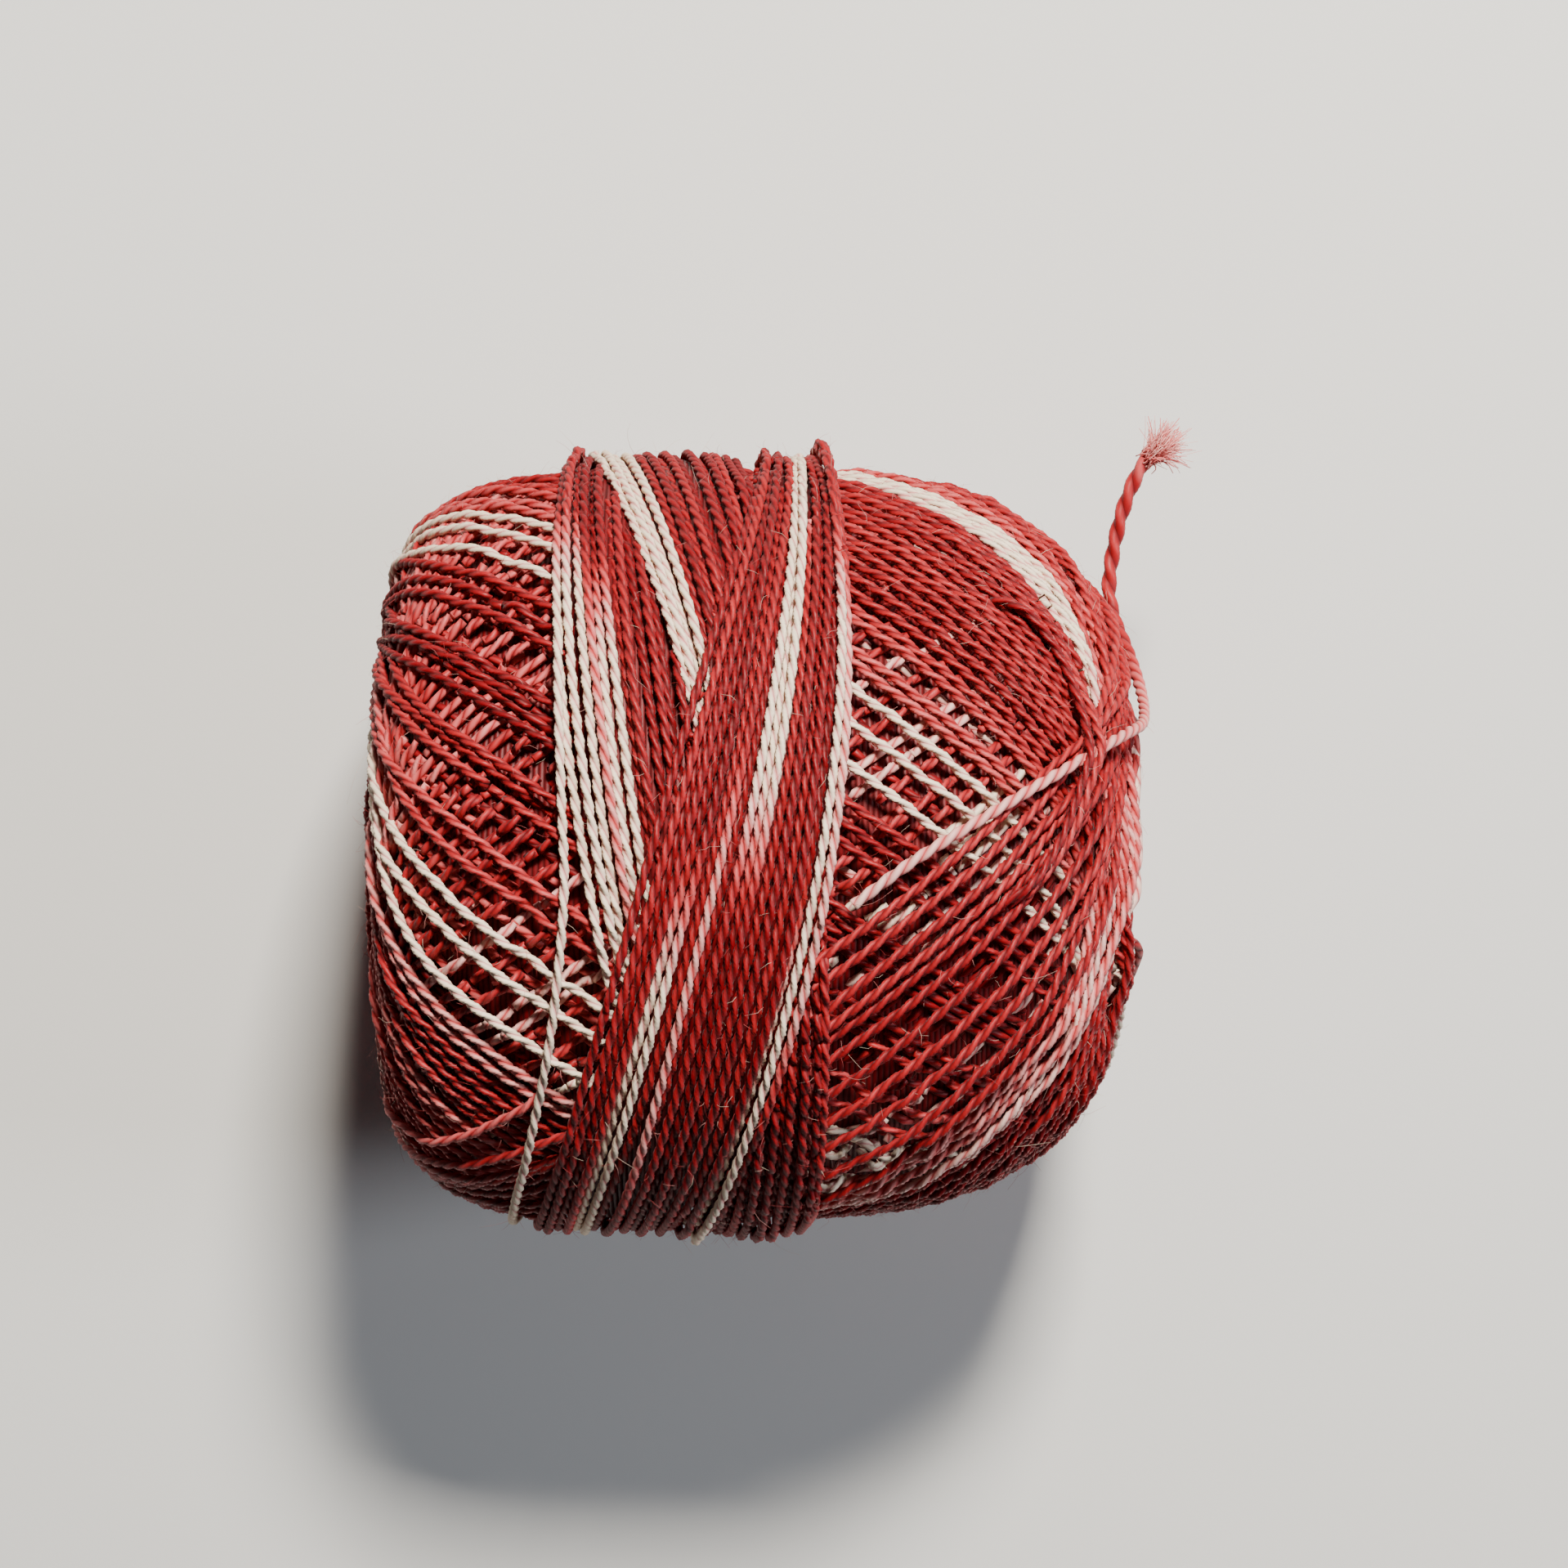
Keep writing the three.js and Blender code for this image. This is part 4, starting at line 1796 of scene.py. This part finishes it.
@dataclass
class Studio:
    """Camera straight above, pale surface and soft light from beyond the ball's upper right."""

    frame_pixels: float = 1918.0
    ball_pixel: tuple[float, float] = (925.0, 1025.0)
    pixel_size: float = 0.0463 * MM
    distance: float = 215 * MM
    sensor: float = 36.0
    key: SoftLight = SoftLight("key", (0.052, 0.205, 0.315), 0.065, 3.5, (1.0, 0.95, 0.86))
    side: SoftLight = SoftLight("side", (0.52, -0.02, 0.32), 0.16, 2.2, (0.84, 0.91, 1.0))
    sky_colour: Colour = (0.90, 0.94, 1.0)
    sky_strength: float = 0.035
    floor_reach: float = 1.5

    def build(self) -> None:
        """Sets up camera, lights and surface."""
        self._camera()
        self._lights()
        self._floor()

    def _camera(self) -> None:
        """Looks straight down, with the ball where the photograph has it."""
        data = bpy.data.cameras.new("camera")
        data.sensor_width = self.sensor
        data.lens = self.sensor * self.distance / (self.frame_pixels * self.pixel_size)
        data.clip_start = 0.01
        camera = bpy.data.objects.new("camera", data)
        middle = self.frame_pixels / 2
        camera.location = (
            (middle - self.ball_pixel[0]) * self.pixel_size,
            (self.ball_pixel[1] - middle) * self.pixel_size,
            AXIS_HEIGHT + self.distance,
        )
        bpy.context.scene.collection.objects.link(camera)
        bpy.context.scene.camera = camera

    def _lights(self) -> None:
        """A warm key from beyond the ball, a cool side light from the right, and a weak sky."""
        self.key.build()
        self.side.build()
        world = bpy.data.worlds.new("soft_sky")
        world.use_nodes = True
        sky = world.node_tree.nodes["Background"]
        sky.inputs["Color"].default_value = (*self.sky_colour, 1.0)
        sky.inputs["Strength"].default_value = self.sky_strength
        bpy.context.scene.world = world

    def _floor(self) -> None:
        """A wide square of pale surface at the ball's rest height."""
        shape = bmesh.new()
        bmesh.ops.create_grid(shape, x_segments=1, y_segments=1, size=self.floor_reach)
        mesh = bpy.data.meshes.new("pale_surface")
        shape.to_mesh(mesh)
        shape.free()
        floor = bpy.data.objects.new("pale_surface", mesh)
        bpy.context.scene.collection.objects.link(floor)
        mesh.materials.append(PalePaper().material())


@dataclass
class WoundBall:
    """The whole winding, laid in order and split into pieces of a workable size."""

    # Turns are modelled finely above this place in the room and this height over the body.
    fine_above: float = AXIS_HEIGHT - 5 * MM
    fine_height: float = -0.45 * MM
    # How far in from a bundle's edge a turn under it counts as hidden.
    hidden_in: float = 0.85 * MM
    # How far under the belt's top its turns are pressed, and how far to each side of the middle.
    belt_press: float = 0.12 * MM
    belt_reach: float = 16 * MM
    # How far the ends of a stray turn sink between the turns beside them.
    dive: float = 1.0 * MM

    def __post_init__(self) -> None:
        """Prepares the surface and the finishes."""
        self.surface = WindingSurface(BodyOutline())
        # Painted shade: the packed turns deep in the winding get a darker copy of the cotton, which the
        # stray fibres also wear.
        self.inner = PearlCotton("shaded_inner_pearl_cotton", shade=0.8).material()
        self.outer = PearlCotton("pearl_cotton").material()

    def _strand(self, thread: Thread) -> Strand:
        """Places a laid thread."""
        points, up = self.surface.place(thread.run, thread.angle, thread.height)
        return Strand(points, up, thread.turns, thread.pale, np.full(len(points), THREAD_RADIUS))

    def _hidden_under(self, thread: Thread, bundles: tuple[BeltBundle, ...]) -> np.ndarray:
        """Marks the points that lie well under any of the belt's bundles.

        Args:
            thread: The laid thread.
            bundles: The bundles that lie over it.

        Returns:
            A truth value for each point.
        """
        x = np.interp(thread.run, self.surface.run, self.surface.x)
        inside = [bundle.inside(x, thread.angle) for bundle in bundles]
        return np.max(inside, axis=0) > self.hidden_in

    def _pieces(
        self, name: str, threads: list[Thread], covered_by: tuple[BeltBundle, ...], parts: int = 1
    ) -> None:
        """Makes the pieces of some turns, fine where they show in the photograph, else plainer.

        Args:
            name: Name that the pieces begin with.
            threads: The turns.
            covered_by: Bundles of the belt that hide part of them.
            parts: Number of pieces that the fine stretches are split into, 0 for only plain ones.
        """
        fine = [ThreadSweep(Detail.TWISTED) for _ in range(parts)]
        plain = ThreadSweep(Detail.PLAIN)
        for number, thread in enumerate(threads):
            shown = self.surface.shows(thread)
            if covered_by:
                shown &= ~self._hidden_under(thread, covered_by)
            points, _ = self.surface.place(thread.run, thread.angle, thread.height)
            near = (points[:, 2] > self.fine_above) & (thread.height > self.fine_height)
            near &= parts > 0
            for part in thread.cut(shown & near):
                fine[number * parts // len(threads)].add(self._strand(part))
            for part in thread.cut(shown & ~near):
                plain.add(self._strand(part))
        for number, sweep in enumerate(fine):
            if sweep.count:
                dress(sweep.build(f"{name}_{number + 1}"), self.outer)
        if plain.count:
            dress(plain.build(f"{name}_plain"), self.outer)

    def _wind_belt(self) -> dict[str, list[Thread]]:
        """Winds the belt's bundles one over another and presses each down to the belt's height.

        Returns:
            The turns of each bundle by its name.
        """
        surface = self.surface
        belt = Belt(surface)
        bundles: dict[str, list[Thread]] = {}
        level = BELT_TOP - surface.r[:, None] - self.belt_press
        level = level + np.where(np.abs(surface.x) < self.belt_reach, 0.0, 1.0)[:, None]
        for bundle in BUNDLES:
            bundles[bundle.name] = belt.wind(bundle)
            laid = [thread for threads in bundles.values() for thread in threads]
            surface.settle(laid, level, reach=3)
        return bundles

    def _stray(self, *turns: StrayTurn) -> list[Thread]:
        """Lays threads that slipped out of the order, which dive under at both ends."""
        return [self.surface.lay(turn.route(self.surface), dive=self.dive) for turn in turns]

    def build(self) -> None:
        """Winds the ball and makes its pieces."""
        surface = self.surface
        crossing = CrossingTurns(surface)
        surface.start_below(crossing.expected_depth())
        rounds = crossing.wind_hidden()
        last = crossing.wind_last()
        surface.smooth_ends(crossing.laid)
        LOG.info("crossing turns stand %.2f mm over the outline at most", surface.height.max() / MM)
        for number, bundle in enumerate(BUNDLES):
            surface.seat_belt(bundle, BUNDLES[number + 1 :])
        # The packed turns wear the darker copy of the cotton, which is painted shade.
        dress(PackedTurns(surface).build(), self.inner)
        bundles = self._wind_belt()
        strays = self._stray(SALMON_TURN, EDGE_TURN)
        loose_end = LooseEnd()
        surface.raise_under(loose_end.line(), loose_end.first_radius)
        strays += self._stray(SLIPPED_TURN, SLIPPED_TURN_BESIDE)
        for number, threads in enumerate(rounds):
            fine_parts = 1 if number >= len(rounds) - 2 else 0
            self._pieces(f"hidden_turns_{number + 1}", threads, BUNDLES, parts=fine_parts)
        self._pieces("last_turns", last, BUNDLES, parts=3)
        for number, bundle in enumerate(BUNDLES):
            self._pieces(bundle.name, bundles[bundle.name], BUNDLES[number + 1 :])
        self._pieces("stray_turns", strays, ())
        fibres = StrayFibres(surface).build()
        dress(fibres, self.inner)
        tip = PearlCotton("frayed_cotton", shade=1.15, roughness=0.7, sheen=0.1).material()
        loose_end.build(self.outer, tip)


def main() -> None:
    """Builds the scene."""
    logging.basicConfig(level=logging.INFO, format="%(message)s")
    Studio().build()
    WoundBall().build()


if __name__ == "__main__":
    main()
